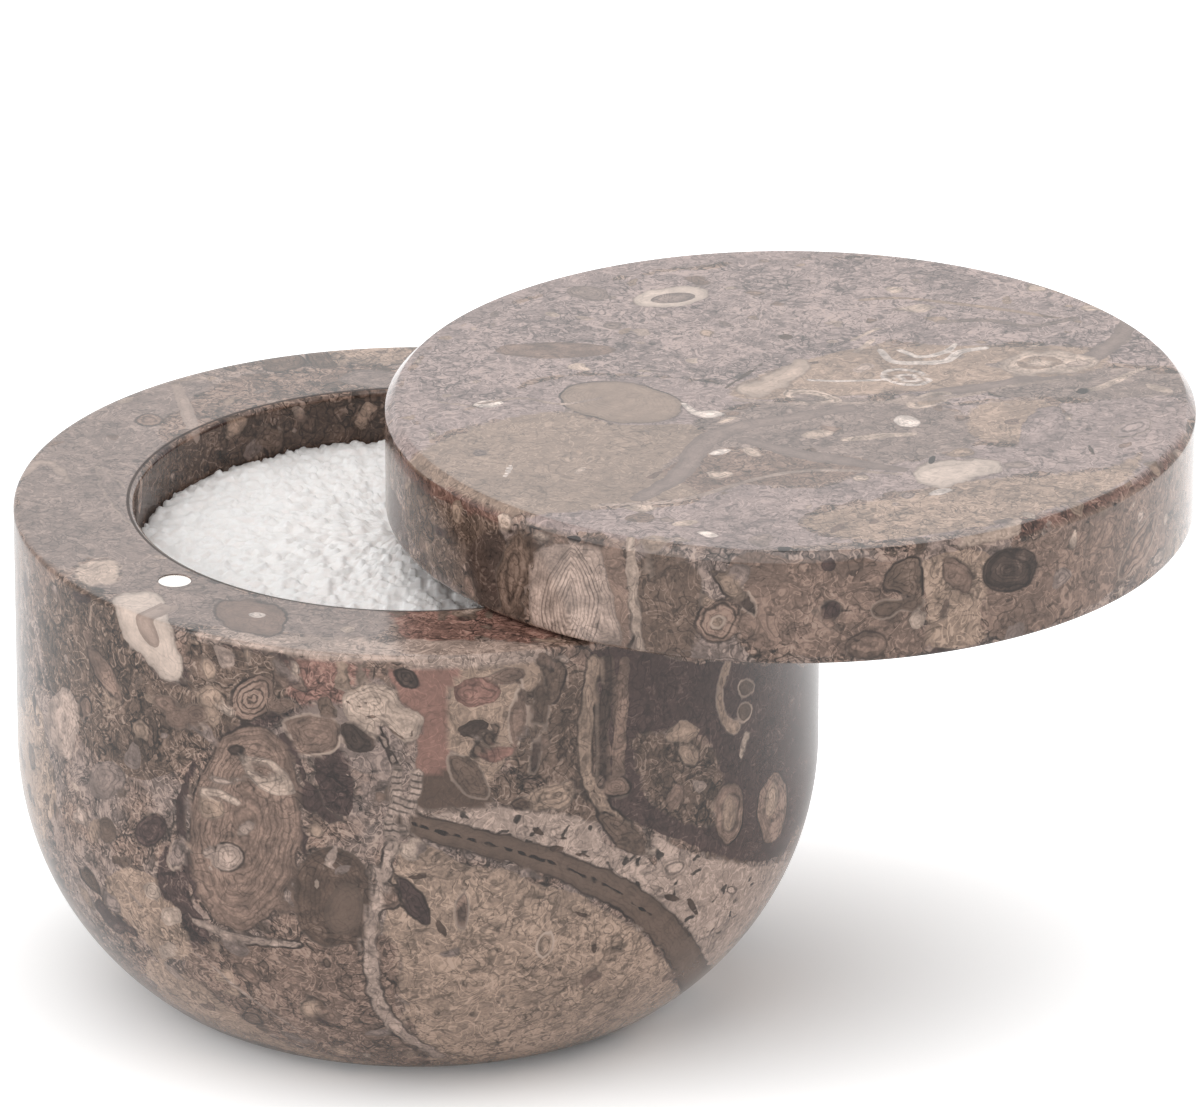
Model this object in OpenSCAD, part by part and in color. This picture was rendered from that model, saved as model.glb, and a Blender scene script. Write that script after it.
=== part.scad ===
// Salt cellar turned from stone, with a stone lid that swivels sideways on a pin
// Millimetres, +Z up, origin at the middle of the flat base of the bowl

/* [Bowl] */
// Outside diameter, shared by the bowl and the lid
body_d = 100; // [94:1:116]
// Height from the base to the rim
bowl_h = 63.3; // [58:0.1:76]
// Diameter of the flat that the bowl stands on
base_d = 57; // [50:0.5:64]
// Radius of the long curve that draws the side in below its straight part
flank_r = 37.5; // [34:0.5:40]
// Radius of the short curve from the side into the base
foot_r = 12; // [8:0.5:14]
// Rounding of the outer edge of the rim
rim_edge_r = 0.6; // [0.3:0.1:1.5]

/* [Hollow] */
// Diameter of the mouth
mouth_d = 70; // [64:0.5:72]
// Depth of the hollow under the rim
hollow_depth = 50; // [40:0.5:51]
// Radius of the curve between the wall of the hollow and its floor
hollow_r = 22; // [16:0.5:26]
// Rounding of the inner edge of the rim
mouth_edge_r = 0.8; // [0.3:0.1:1.5]

/* [Lid] */
// Thickness of the lid
lid_t = 14.4; // [12:0.1:18]
// Bevel round the upper edge, the same across and down
lid_top_bevel = 1.2; // [0.6:0.1:2.5]
// Rounding of the lower edge
lid_low_r = 0.8; // [0.3:0.1:1.5]
// Gap between the rim and the lid, held open by the flange of the bush
lid_gap = 0.4; // [0.2:0.05:0.6]
// Swing of the lid away from closed, in degrees
lid_open = 66; // [0:0.1:180]

/* [Pivot] */
// Direction of the pin, in degrees from +X
pivot_angle = 52.9; // [30:0.1:80]
// Diameter of the dowel pin
pin_d = 5; // [4:0.1:6]
// Length of the pin that is set in the bowl
pin_set_depth = 15; // [10:0.5:20]
// Length of the pin that stands up into the lid
pin_stand = 9; // [6:0.1:9.5]
// Rounding of the ends of the pin
pin_end_r = 0.5; // [0.2:0.1:0.8]
// Wall of the sleeve of the bush
bush_wall = 1; // [0.8:0.05:1.2]
// Width of the flange, beyond the sleeve
flange_reach = 2; // [1:0.1:2.4]
// Thickness of the flange
flange_t = 1; // [0.8:0.1:1.5]
// Gap all round between the pin and the bush that turns on it
running_gap = 0.05; // [0.03:0.01:0.08]

/* [Magnets] */
// Diameter of each magnet
magnet_d = 4; // [3:0.5:5]
// Thickness of each magnet
magnet_t = 3; // [2:0.5:4]
// Distance of the magnets' middles from the wall of the mouth
magnet_from_mouth = 4.3; // [3.6:0.1:9]
// Direction of the magnets with the lid closed, in degrees from +X
magnet_angle = 222; // [190:1:260]
// Depth of each magnet's face below the stone
magnet_sink = 0.1; // [0.05:0.05:0.3]

/* [Hidden] */

// Film of glue round and behind whatever is set in a drilled hole
glue_gap = 0.05;
// How far a cut runs past the face that it opens
overrun = 1;
// Free space over the end of the pin
end_play = 0.5;

// Radii that the profiles are drawn with
body_r = body_d / 2;
base_r = base_d / 2;
mouth_r = mouth_d / 2;
pin_r = pin_d / 2;
magnet_r = magnet_d / 2;
// The pin stands in the middle of the wall, and the magnets nearer to the mouth
pivot_ring_r = (body_r + mouth_r) / 2;
magnet_ring_r = mouth_r + magnet_from_mouth;
bush_bore_r = pin_r + running_gap;
bush_r = bush_bore_r + bush_wall;
flange_r = bush_r + flange_reach;

// The two curves of the side meet where both have turned through this angle
flank_turn = acos((base_r - body_r + flank_r) / (flank_r - foot_r));
flank_z = foot_r + (flank_r - foot_r) * sin(flank_turn);

floor_z = bowl_h - hollow_depth;
lid_z = bowl_h + lid_gap;
bush_len = pin_stand + end_play - lid_gap;

// Facets round a full turn, and steps along each curve of a profile
$fn = 180;
curve_steps = 24;
edge_steps = 5;

// Points along an arc of a half section, from one angle to another
function arc(across, up, r, from, to, steps) =
    [for (i = [0 : steps])
        let (a = from + (to - from) * i / steps)
        [across + r * cos(a), up + r * sin(a)]];

// Half section of the bowl, from the middle of its floor round to the middle of its base
bowl_section = concat(
    [[0, floor_z]],
    arc(mouth_r - hollow_r, floor_z + hollow_r, hollow_r, -90, 0, curve_steps),
    arc(mouth_r + mouth_edge_r, bowl_h - mouth_edge_r, mouth_edge_r, 180, 90, edge_steps),
    arc(body_r - rim_edge_r, bowl_h - rim_edge_r, rim_edge_r, 90, 0, edge_steps),
    arc(body_r - flank_r, flank_z, flank_r, 0, -flank_turn, curve_steps),
    arc(base_r, foot_r, foot_r, -flank_turn, -90, curve_steps),
    [[0, 0]]);

// Half section of the lid, from the middle of its underside round to the middle of its top
lid_section = concat(
    [[0, 0]],
    arc(body_r - lid_low_r, lid_low_r, lid_low_r, -90, 0, edge_steps),
    [[body_r, lid_t - lid_top_bevel], [body_r - lid_top_bevel, lid_t], [0, lid_t]]);

// Half section of the pin, which stands on its own lower end
pin_len = pin_set_depth + pin_stand;
pin_section = concat(
    [[0, 0]],
    arc(pin_r - pin_end_r, pin_end_r, pin_end_r, -90, 0, edge_steps),
    arc(pin_r - pin_end_r, pin_len - pin_end_r, pin_end_r, 0, 90, edge_steps),
    [[0, pin_len]]);

// Puts its children on a ring round the middle of the bowl or of the closed lid
module on_ring(ring_r, angle) {
    rotate([0, 0, angle]) translate([ring_r, 0, 0]) children();
}

// Swings its children round the pin, from closed to the angle that the lid is left at
module swung_open() {
    rotate([0, 0, pivot_angle]) translate([pivot_ring_r, 0, 0])
        rotate([0, 0, lid_open])
            translate([-pivot_ring_r, 0, 0]) rotate([0, 0, -pivot_angle]) children();
}

// Blind hole, or the piece that fills it less its glue, from a face down into the stone
module drilled(r, depth) {
    translate([0, 0, -depth]) cylinder(r = r, h = depth + overrun);
}

module bowl() {
    color("rosybrown") difference() {
        rotate_extrude() polygon(bowl_section);
        translate([0, 0, bowl_h]) {
            on_ring(pivot_ring_r, pivot_angle)
                drilled(pin_r + glue_gap, pin_set_depth + glue_gap);
            on_ring(magnet_ring_r, magnet_angle)
                drilled(magnet_r + glue_gap, magnet_sink + magnet_t + glue_gap);
        }
    }
}

module pivot_pin() {
    color("silver") on_ring(pivot_ring_r, pivot_angle)
        translate([0, 0, bowl_h - pin_set_depth])
            rotate_extrude() polygon(pin_section);
}

module bowl_magnet() {
    color("gainsboro") on_ring(magnet_ring_r, magnet_angle)
        translate([0, 0, bowl_h - magnet_sink - magnet_t])
            cylinder(r = magnet_r, h = magnet_t);
}

// The lid's holes are drilled up into its flat underside
module lid() {
    color("tan") swung_open() translate([0, 0, lid_z]) difference() {
        rotate_extrude() polygon(lid_section);
        on_ring(pivot_ring_r, pivot_angle) mirror([0, 0, 1]) {
            drilled(bush_r + glue_gap, bush_len + glue_gap);
            drilled(flange_r + glue_gap, flange_t - lid_gap + glue_gap);
        }
        on_ring(magnet_ring_r, magnet_angle) mirror([0, 0, 1])
            drilled(magnet_r + glue_gap, magnet_sink + magnet_t + glue_gap);
    }
}

// The flange rests on the rim, and carries the lid clear of it
module pivot_bush() {
    color("ivory") swung_open() on_ring(pivot_ring_r, pivot_angle)
        translate([0, 0, bowl_h]) difference() {
            union() {
                cylinder(r = bush_r, h = lid_gap + bush_len);
                cylinder(r = flange_r, h = flange_t);
            }
            translate([0, 0, -overrun])
                cylinder(r = bush_bore_r, h = lid_gap + bush_len + 2 * overrun);
        }
}

module lid_magnet() {
    color("gainsboro") swung_open() on_ring(magnet_ring_r, magnet_angle)
        translate([0, 0, lid_z + magnet_sink])
            cylinder(r = magnet_r, h = magnet_t);
}

bowl();
pivot_pin();
bowl_magnet();
lid();
pivot_bush();
lid_magnet();
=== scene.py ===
"""Salt cellar turned from polished fossil limestone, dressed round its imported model.

The bowl and the lid are spun from their half sections. Fossils are laid into the stone as
distances, in millimetres, that each point of the surface keeps, and the stone's material draws
them from those. Places and half sizes that were read off the photograph are in its pixels, in a
frame of 1200 by 1107, and each has the name of what lies there.
"""

import math
from functools import partial

import bmesh
import bpy
import numpy as np
from mathutils import Matrix, Vector, noise


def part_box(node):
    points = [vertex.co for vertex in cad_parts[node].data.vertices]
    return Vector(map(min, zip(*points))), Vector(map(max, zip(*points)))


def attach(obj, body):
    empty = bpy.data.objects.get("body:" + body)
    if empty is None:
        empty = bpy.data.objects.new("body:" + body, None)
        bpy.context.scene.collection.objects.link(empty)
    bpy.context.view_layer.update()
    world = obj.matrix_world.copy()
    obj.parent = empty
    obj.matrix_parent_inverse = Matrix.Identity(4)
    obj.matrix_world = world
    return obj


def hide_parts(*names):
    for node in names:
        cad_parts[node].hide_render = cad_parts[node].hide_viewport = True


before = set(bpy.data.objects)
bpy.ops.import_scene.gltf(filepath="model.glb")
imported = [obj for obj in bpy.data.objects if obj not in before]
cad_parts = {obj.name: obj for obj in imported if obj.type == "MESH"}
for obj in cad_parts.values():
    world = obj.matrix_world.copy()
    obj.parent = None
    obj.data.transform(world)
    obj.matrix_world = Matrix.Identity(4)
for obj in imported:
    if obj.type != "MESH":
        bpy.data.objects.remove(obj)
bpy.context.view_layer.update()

MM = 0.001
PHOTO_W, PHOTO_H = 1200, 1107


def box_mm(node):
    """Lowest and highest corner of a solid, in millimetres."""
    low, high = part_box(node)
    return np.array(low) / MM, np.array(high) / MM


bowl_low, bowl_high = box_mm("bowl")
lid_low, lid_high = box_mm("lid")
pin_low, pin_high = box_mm("pivot_pin")
bush_low, bush_high = box_mm("pivot_bush")
bowl_magnet_low, bowl_magnet_high = box_mm("bowl_magnet")
lid_magnet_low, lid_magnet_high = box_mm("lid_magnet")
BODY_R = (bowl_high[0] - bowl_low[0]) / 2
RIM_Z = bowl_high[2]
LID_Z = lid_low[2]
LID_TOP_Z = lid_high[2]
LID_X, LID_Y = (lid_low[:2] + lid_high[:2]) / 2

# The turned profiles, in millimetres, as the solids have them
BASE_R = 28.5
FLANK_R = 37.5
FOOT_R = 12.0
RIM_EDGE_R = 0.6
MOUTH_R = 35.0
HOLLOW_DEPTH = 50.0
HOLLOW_R = 22.0
MOUTH_EDGE_R = 0.8
LID_TOP_BEVEL = 1.2
LID_LOW_R = 0.8
BEVEL_ANGLE = 45
BEVEL_SOFTNESS = 0.3
BUSH_FLANGE_T = 1.0
BUSH_SLEEVE_R = 3.55
GLUE_GAP = 0.05

# Spacing of the points on stone that shows, on stone that hardly does and round small edges,
# in millimetres, and steps of each piece round its axis
FINE = 0.6
COARSE = 1.6
MOUTH_EDGE_SPACING = 0.25
RIM_EDGE_SPACING = 0.2
LOW_EDGE_SPACING = 0.25
BEVEL_SPACING = 0.1
BOWL_STEPS = 400
LID_STEPS = 440
HOLE_STEPS = 64

# In millimetres: points this close are one, a height or radius may be off by this much, and a
# drill runs this far past the face that it opens
WELD = 0.001
SLACK = 0.01
OVERRUN = 1.0

# Angle between two faces, in degrees, above which the edge between them stays sharp
SHARP_ANGLE = 35

# The camera of the photograph: a long lens from the front, a little above
VIEW_ELEVATION = 23.0
VIEW_DISTANCE = 1600.0
VIEW_AIM = (22.7, -2.74, 56.86)
PX_PER_MM = 8.07
SENSOR_W = 36
CLIP_NEAR, CLIP_FAR = 0.1, 20


def linear(hex_colour, alpha=1.0):
    """Linear red, green and blue of an sRGB hex colour, and an alpha as it is."""
    parts = [int(hex_colour[i:i + 2], 16) / 255 for i in (1, 3, 5)]
    parts = [c / 12.92 if c <= 0.04045 else ((c + 0.055) / 1.055) ** 2.4 for c in parts]
    return parts + [alpha]


# Camera
elevation = math.radians(VIEW_ELEVATION)
view_right = np.array([1.0, 0, 0])
view_back = np.array([0, -math.cos(elevation), math.sin(elevation)])
view_up = np.array([0, math.sin(elevation), math.cos(elevation)])
view_eye = np.array(VIEW_AIM) + VIEW_DISTANCE * view_back
view_focal = PX_PER_MM * VIEW_DISTANCE

camera = bpy.data.objects.new("camera", bpy.data.cameras.new("camera"))
bpy.context.scene.collection.objects.link(camera)
camera.location = Vector(view_eye * MM)
camera.rotation_mode = "QUATERNION"
camera.rotation_quaternion = Vector(-view_back).to_track_quat("-Z", "Y")
camera.data.sensor_width = SENSOR_W
camera.data.lens = view_focal * SENSOR_W / PHOTO_W
camera.data.clip_start = CLIP_NEAR
camera.data.clip_end = CLIP_FAR
bpy.context.scene.camera = camera


# Profiles and turned pieces
def arc(across, up, r, start, end, spacing):
    """Points of a half section along an arc, no further apart than the spacing."""
    steps = max(3, math.ceil(abs(math.radians(end - start)) * r / spacing))
    turns = [math.radians(start + (end - start) * i / steps) for i in range(steps + 1)]
    return [(across + r * math.cos(a), up + r * math.sin(a)) for a in turns]


def filled_in(outline, spacings):
    """The outline with points added along its long straight runs."""
    points = [outline[0]]
    for (r0, z0), (r1, z1), spacing in zip(outline, outline[1:], spacings):
        steps = max(1, round(math.hypot(r1 - r0, z1 - z0) / spacing))
        points += [(r0 + (r1 - r0) * i / steps, z0 + (z1 - z0) * i / steps)
                   for i in range(1, steps + 1)]
    return points


def new_piece(name, bm):
    """An object made from a bmesh, which is used up."""
    bmesh.ops.remove_doubles(bm, verts=bm.verts, dist=WELD * MM)
    bmesh.ops.recalc_face_normals(bm, faces=bm.faces)
    for face in bm.faces:
        face.smooth = True
    mesh = bpy.data.meshes.new(name)
    bm.to_mesh(mesh)
    bm.free()
    piece = bpy.data.objects.new(name, mesh)
    bpy.context.scene.collection.objects.link(piece)
    return piece


def turned(name, outline, centre, steps):
    """A piece spun from a half section about an upright axis through the centre.

    An eighth is spun, and then doubled three times."""
    middle_of = Vector((centre[0] * MM, centre[1] * MM, 0))
    eighth = math.pi / 4
    bm = bmesh.new()
    verts = [bm.verts.new(((centre[0] + r) * MM, centre[1] * MM, z * MM)) for r, z in outline]
    edges = [bm.edges.new(pair) for pair in zip(verts, verts[1:])]
    bmesh.ops.spin(bm, geom=verts + edges, cent=middle_of, axis=(0, 0, 1), dvec=(0, 0, 0),
                   angle=eighth, steps=steps // 8, use_merge=False, use_normal_flip=False,
                   use_duplicate=False)
    for turns in (1, 2, 4):
        copy = bmesh.ops.duplicate(bm, geom=bm.verts[:] + bm.edges[:] + bm.faces[:])["geom"]
        bmesh.ops.rotate(bm, cent=middle_of, matrix=Matrix.Rotation(turns * eighth, 3, "Z"),
                         verts=[part for part in copy if isinstance(part, bmesh.types.BMVert)])
    return new_piece(name, bm)


def drilled(piece, low, high, r, centre):
    """Cuts a round hole into a piece, from one height to another."""
    outline = [(0, low), (r, low), (r, high), (0, high)]
    cutter = turned("cutter", outline, centre, HOLE_STEPS)
    cut = piece.modifiers.new("hole", "BOOLEAN")
    cut.operation = "DIFFERENCE"
    cut.object = cutter
    graph = bpy.context.evaluated_depsgraph_get()
    mesh = bpy.data.meshes.new_from_object(piece.evaluated_get(graph))
    piece.modifiers.clear()
    old = piece.data
    piece.data = mesh
    bpy.data.meshes.remove(old)
    bpy.data.objects.remove(cutter)


flank_turn = math.degrees(math.acos((BASE_R - BODY_R + FLANK_R) / (FLANK_R - FOOT_R)))
flank_z = FOOT_R + (FLANK_R - FOOT_R) * math.sin(math.radians(flank_turn))
floor_z = RIM_Z - HOLLOW_DEPTH


def bowl_outline():
    """Half section of the bowl, from the middle of its floor round to the middle of its base."""
    hollow = arc(MOUTH_R - HOLLOW_R, floor_z + HOLLOW_R, HOLLOW_R, -90, 0, COARSE)
    mouth_edge = arc(MOUTH_R + MOUTH_EDGE_R, RIM_Z - MOUTH_EDGE_R, MOUTH_EDGE_R, 180, 90,
                     MOUTH_EDGE_SPACING)
    rim_edge = arc(BODY_R - RIM_EDGE_R, RIM_Z - RIM_EDGE_R, RIM_EDGE_R, 90, 0, RIM_EDGE_SPACING)
    flank = arc(BODY_R - FLANK_R, flank_z, FLANK_R, 0, -flank_turn, FINE)
    foot = arc(BASE_R, FOOT_R, FOOT_R, -flank_turn, -90, FINE)
    outline = [(0, floor_z)] + hollow + mouth_edge + rim_edge + flank + foot + [(0, 0)]
    spacings = [COARSE] * (len(hollow) + 1) + [FINE] * (len(outline) - len(hollow) - 3) + [COARSE]
    return filled_in(outline, spacings)


def lid_outline():
    """Half section of the lid, from the middle of its underside round to that of its top."""
    low = arc(BODY_R - LID_LOW_R, LID_Z + LID_LOW_R, LID_LOW_R, -90, 0, LOW_EDGE_SPACING)
    # The bevel is two soft corners with a flat between them
    reach = BEVEL_SOFTNESS * math.tan(math.radians(BEVEL_ANGLE / 2))
    lower = arc(BODY_R - BEVEL_SOFTNESS, LID_TOP_Z - LID_TOP_BEVEL - reach, BEVEL_SOFTNESS,
                0, BEVEL_ANGLE, BEVEL_SPACING)
    upper = arc(BODY_R - LID_TOP_BEVEL - reach, LID_TOP_Z - BEVEL_SOFTNESS, BEVEL_SOFTNESS,
                BEVEL_ANGLE, 90, BEVEL_SPACING)
    outline = [(0, LID_Z)] + low + lower + upper + [(0, LID_TOP_Z)]
    spacings = [COARSE] + [FINE] * (len(outline) - 2)
    return filled_in(outline, spacings)


def middle(low, high):
    """Place of the middle of a box, seen from above."""
    return (low[:2] + high[:2]) / 2


bowl_section = bowl_outline()
lid_section = lid_outline()
bowl = turned("stone_bowl", bowl_section, (0, 0), BOWL_STEPS)
lid = turned("stone_lid", lid_section, (LID_X, LID_Y), LID_STEPS)
above, below = RIM_Z + OVERRUN, LID_Z - OVERRUN
pivot = middle(pin_low, pin_high)
magnet_r = (bowl_magnet_high[0] - bowl_magnet_low[0]) / 2
drilled(bowl, pin_low[2] - GLUE_GAP, above, (pin_high[0] - pin_low[0]) / 2 + GLUE_GAP, pivot)
drilled(bowl, bowl_magnet_low[2] - GLUE_GAP, above, magnet_r + GLUE_GAP,
        middle(bowl_magnet_low, bowl_magnet_high))
drilled(lid, below, bush_high[2] + GLUE_GAP, BUSH_SLEEVE_R + GLUE_GAP, pivot)
drilled(lid, below, bush_low[2] + BUSH_FLANGE_T + GLUE_GAP,
        (bush_high[0] - bush_low[0]) / 2 + GLUE_GAP, pivot)
drilled(lid, below, lid_magnet_high[2] + GLUE_GAP, magnet_r + GLUE_GAP,
        middle(lid_magnet_low, lid_magnet_high))
for piece, node in ((bowl, "bowl"), (lid, "lid")):
    piece.data.set_sharp_from_angle(angle=math.radians(SHARP_ANGLE))
    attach(piece, node)
    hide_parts(node)


# Fossils in the stone
# Tones of the stone itself, before any light falls on it
CREAM = "#bda697"
BONE = "#d9c8be"
IVORY = "#cbb7aa"
PALE = "#aa9488"
BEIGE = "#9e8676"
TAUPE = "#816a5e"
BROWN = "#68554a"
UMBER = "#59473d"
DARK = "#4d3e37"
INK = "#2c221e"
LILAC = "#87756d"
PURPLE = "#4c3b37"
ROSE = "#8a675c"
RUST = "#71544a"
OLIVE = "#927d6f"
MAUVE = "#96837e"

# How a fossil's outline is drawn: from 0 for dark, through 0.5 for none, to 1 for light
DARK_LINE = 0.0
FAINT_LINE = 0.25
NO_LINE = 0.5
PALE_LINE = 0.8
LIGHT_LINE = 1.0

# A patch of ground with less grain than this is fine mud, and holds no scattered fossils
FINE_MUD = 0.65
# Grain of the painted shade laid over the hollow's wall
HOLLOW_SHADE_GRAIN = 0.7

# Given as its band, this makes a fossil nearly smooth inside
CALM = -0.65

# A scattered fossil may swell by these shares in two, three, four and five lobes, each at an
# angle in radians from this range, and is taken to be at most this much wider for it
LOBE_SHARES = (0.25, 0.2, 0.12, 0.08)
LOBE_ANGLES = (0, 6)
WIDEST = 1.4

# Its width is between these shares of its length, this share of them are pointed, and each has
# at least so many rings
SLIM_SHARES = (0.3, 0.9)
POINTED_SHARE = 0.35
FEWEST_RINGS = 0.6

# In millimetres: the matrix between a fossil and what it covers, how deep a fossil goes, how
# far a point without one is from it, and how far round a fossil its matrix is worked out
MOAT = 0.12
FOSSIL_DEPTH = 6.0
FAR = 9.0
MARGIN = 2.0

# Keeps a division from being by naught
TINY = 1e-9

# How far stone faces the camera, from 1 for squarely to 0 for edge on: where a patch ends,
# where a place can still be looked up, and where points are left out
PATCH_ENDS = 0.03
LOOKED_UP = 0.02
LEFT_OUT = -0.1

# A place in the photograph is looked up among the points within this many pixels of it, which
# lie at most as many millimetres behind the nearest of them
LOOK_ROUND = 12

# Steps from point to point along a patch's edge, a strand and a row of dots
EDGE_STEPS = 5
STRAND_STEPS = 6
DOT_STEPS = 8


def oval(at, half, turn, tone, line=NO_LINE, rings=1, band=0, pointed=False):
    """A round or oval fossil, by its place, half sizes and turn in the photograph."""
    return dict(kind="oval", at=at, half=half, turn=turn, tone=tone, line=line, rings=rings,
                band=band, pointed=pointed)


def leaf(at, half, turn, tone, line=NO_LINE, rings=1, band=0):
    """A shell cut across, pointed at both ends."""
    return oval(at, half, turn, tone, line, rings, band, pointed=True)


def area(outline, tone, line=NO_LINE, grain=1, band=0, smooth=True):
    """A patch inside an outline, through whose points it curves where it is smooth."""
    return dict(kind="area", outline=outline, tone=tone, line=line, grain=grain, band=band,
                smooth=smooth)


def strand(through, width, tone, line=NO_LINE, rung=0, band=0):
    """A stem or vein through places in the photograph, as wide as its widths in pixels."""
    return dict(kind="strand", through=through, width=width, tone=tone, line=line, rung=rung,
                band=band)


def dots(through, half, tone, spacing):
    """A row of dots, at a spacing in pixels, along a line of places in the photograph."""
    return dict(kind="dots", through=through, half=half, tone=tone, spacing=spacing)


def curved(points, steps, closed):
    """A smooth curve through the points."""
    p = np.array(points, float)
    before = np.roll(p, 1, 0)
    after = np.roll(p, -1, 0)
    beyond = np.roll(p, -2, 0)
    if not closed:
        before[0] = p[0]
        after[-1] = p[-1]
        beyond[-2:] = p[-1]
    t = np.linspace(0, 1, steps, endpoint=False)[None, :, None]
    a, b, c, d = (q[:, None] for q in (before, p, after, beyond))
    run = 0.5 * (2 * b + (c - a) * t + (2 * a - 5 * b + 4 * c - d) * t ** 2
                 + (3 * b - 3 * c + d - a) * t ** 3)
    if closed:
        return run.reshape(-1, p.shape[1])
    return np.vstack([run[:-1].reshape(-1, p.shape[1]), p[-1:]])


def length_along(line):
    """How far along a line each of its points lies."""
    return np.concatenate([[0], np.cumsum(np.linalg.norm(np.diff(line, axis=0), axis=1))])


def picture_slope(point):
    """How a place in the photograph moves with a point, as two rows of three."""
    out = point - view_eye
    depth = -out @ view_back
    across = view_right / depth + (out @ view_right) / depth ** 2 * view_back
    down = -view_up / depth - (out @ view_up) / depth ** 2 * view_back
    return view_focal * np.array([across, down])


class Stone:
    """The points of a stone piece and the beds of fossils that they keep."""

    BEDS = ("ground", "fossils", "details")

    def __init__(self, piece, section, centre, hollow_r):
        self.mesh = piece.data
        self.section = np.array(section)
        self.centre = np.array([*centre, 0.0])
        count = len(self.mesh.vertices)
        self.point = np.empty(count * 3)
        self.mesh.vertices.foreach_get("co", self.point)
        self.point = self.point.reshape(-1, 3) / MM
        self.normal = np.empty(count * 3)
        self.mesh.vertices.foreach_get("normal", self.normal)
        self.normal = self.normal.reshape(-1, 3)
        out = self.point - view_eye
        self.depth = -out @ view_back
        self.seen = np.stack([PHOTO_W / 2 + view_focal * (out @ view_right) / self.depth,
                              PHOTO_H / 2 - view_focal * (out @ view_up) / self.depth], 1)
        self.facing = -(self.normal * out).sum(1) / np.linalg.norm(out, axis=1)
        radius = np.hypot(self.point[:, 0], self.point[:, 1])
        self.inside = (radius < hollow_r + SLACK) & (self.point[:, 2] > floor_z - SLACK)
        self.bed = {name: dict(gap=np.full(count, FAR), ring=np.zeros(count),
                               band=np.zeros(count), tone=np.zeros((count, 4)))
                    for name in self.BEDS}

    def under(self, place):
        """The stone's point at a place in the photograph, its normal and how it is seen."""
        off = self.seen - place
        close = np.flatnonzero((self.facing > LOOKED_UP) & (np.abs(off).max(1) < LOOK_ROUND))
        close = close[self.depth[close] < self.depth[close].min() + LOOK_ROUND]
        nearest = close[np.argmin((off[close] ** 2).sum(1))]
        normal = self.normal[nearest]
        flat = picture_slope(self.point[nearest]) @ (np.eye(3) - np.outer(normal, normal))
        step = np.linalg.lstsq(flat, np.array(place) - self.seen[nearest], rcond=None)[0]
        return self.point[nearest] + step, normal, flat

    def points_near(self, centre, reach):
        """Numbers of the points within reach of a centre."""
        away = self.point - centre
        return np.flatnonzero(np.einsum("ij,ij->i", away, away) < reach ** 2)

    def clear(self, bed, near, gap):
        """Takes what is in a bed away from inside an outline, and from the matrix round it."""
        held = self.bed[bed]["gap"]
        held[near] = np.maximum(held[near], MOAT - gap)

    def lay(self, bed, near, gap, ring, look):
        """Lays one fossil over what is in the bed already."""
        layer = self.bed[bed]
        cut = np.maximum(layer["gap"][near], MOAT - gap)
        on_top = gap < cut
        layer["gap"][near] = np.where(on_top, gap, cut)
        taken = near[on_top]
        layer["ring"][taken] = (ring + np.zeros(len(near)))[on_top]
        layer["band"][taken] = look["band"]
        layer["tone"][taken] = linear(look["tone"], look["line"])
        if bed == "fossils":
            self.clear("details", near, gap)

    def lay_oval(self, bed, look, centre, normal, axes, lobes=()):
        """A fossil whose two rows of axes take a step on the stone to its own unit circle.

        Each lobe is a share of the radius and the angle that it swells at."""
        near = self.points_near(centre, WIDEST / np.linalg.svd(axes)[1].min() + MARGIN)
        step = self.point[near] - centre
        x, y = axes @ step.T
        swell = 1.0
        for count, (share, angle) in enumerate(lobes, 2):
            swell = swell + share * np.cos(count * np.arctan2(y, x) + angle)
        x, y = x / swell, y / swell
        if look["pointed"]:
            ring = np.abs(y) + x ** 2
            slope = np.stack([2 * x, np.sign(y)])
            gap = (ring - 1) / (np.linalg.norm(axes.T @ slope, axis=0) + TINY)
        else:
            ring = np.hypot(x, y)
            gap = (ring - 1) * ring / (np.linalg.norm(axes.T @ np.stack([x, y]), axis=0) + TINY)
        gap = np.maximum(gap, np.abs(step @ normal) - FOSSIL_DEPTH)
        self.lay(bed, near, gap, ring * look["rings"], look)

    def lay_area(self, bed, look):
        """A patch, which lies only on stone that faces the camera."""
        edge = np.array(look["outline"], float)
        if look["smooth"]:
            edge = curved(edge, EDGE_STEPS, True)
        low, high = edge.min(0) - MARGIN * PX_PER_MM, edge.max(0) + MARGIN * PX_PER_MM
        near = np.flatnonzero((self.facing > LEFT_OUT) & ~self.inside
                              & (self.seen > low).all(1) & (self.seen < high).all(1))
        place = self.seen[near][:, None]
        start, end = edge[None], np.roll(edge, -1, 0)[None]
        run = end - start
        share = ((place - start) * run).sum(2) / (run ** 2).sum(2)
        away = np.linalg.norm(place - start - np.clip(share, 0, 1)[..., None] * run, axis=2)
        above_start = start[..., 1] > place[..., 1]
        above_end = end[..., 1] > place[..., 1]
        slope = run[..., 0] / (run[..., 1] + TINY)
        crossing = start[..., 0] + slope * (place[..., 1] - start[..., 1])
        within = ((above_start != above_end) & (place[..., 0] < crossing)).sum(1) % 2 == 1
        gap = np.where(within, -1, 1) * away.min(1) / PX_PER_MM
        gap = np.maximum(gap, (PATCH_ENDS - self.facing[near]) * BODY_R)
        self.lay(bed, near, gap, look["grain"], look)
        if bed == "ground" and look["grain"] < FINE_MUD:
            self.clear("fossils", near, gap)
            self.clear("details", near, gap)

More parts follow.
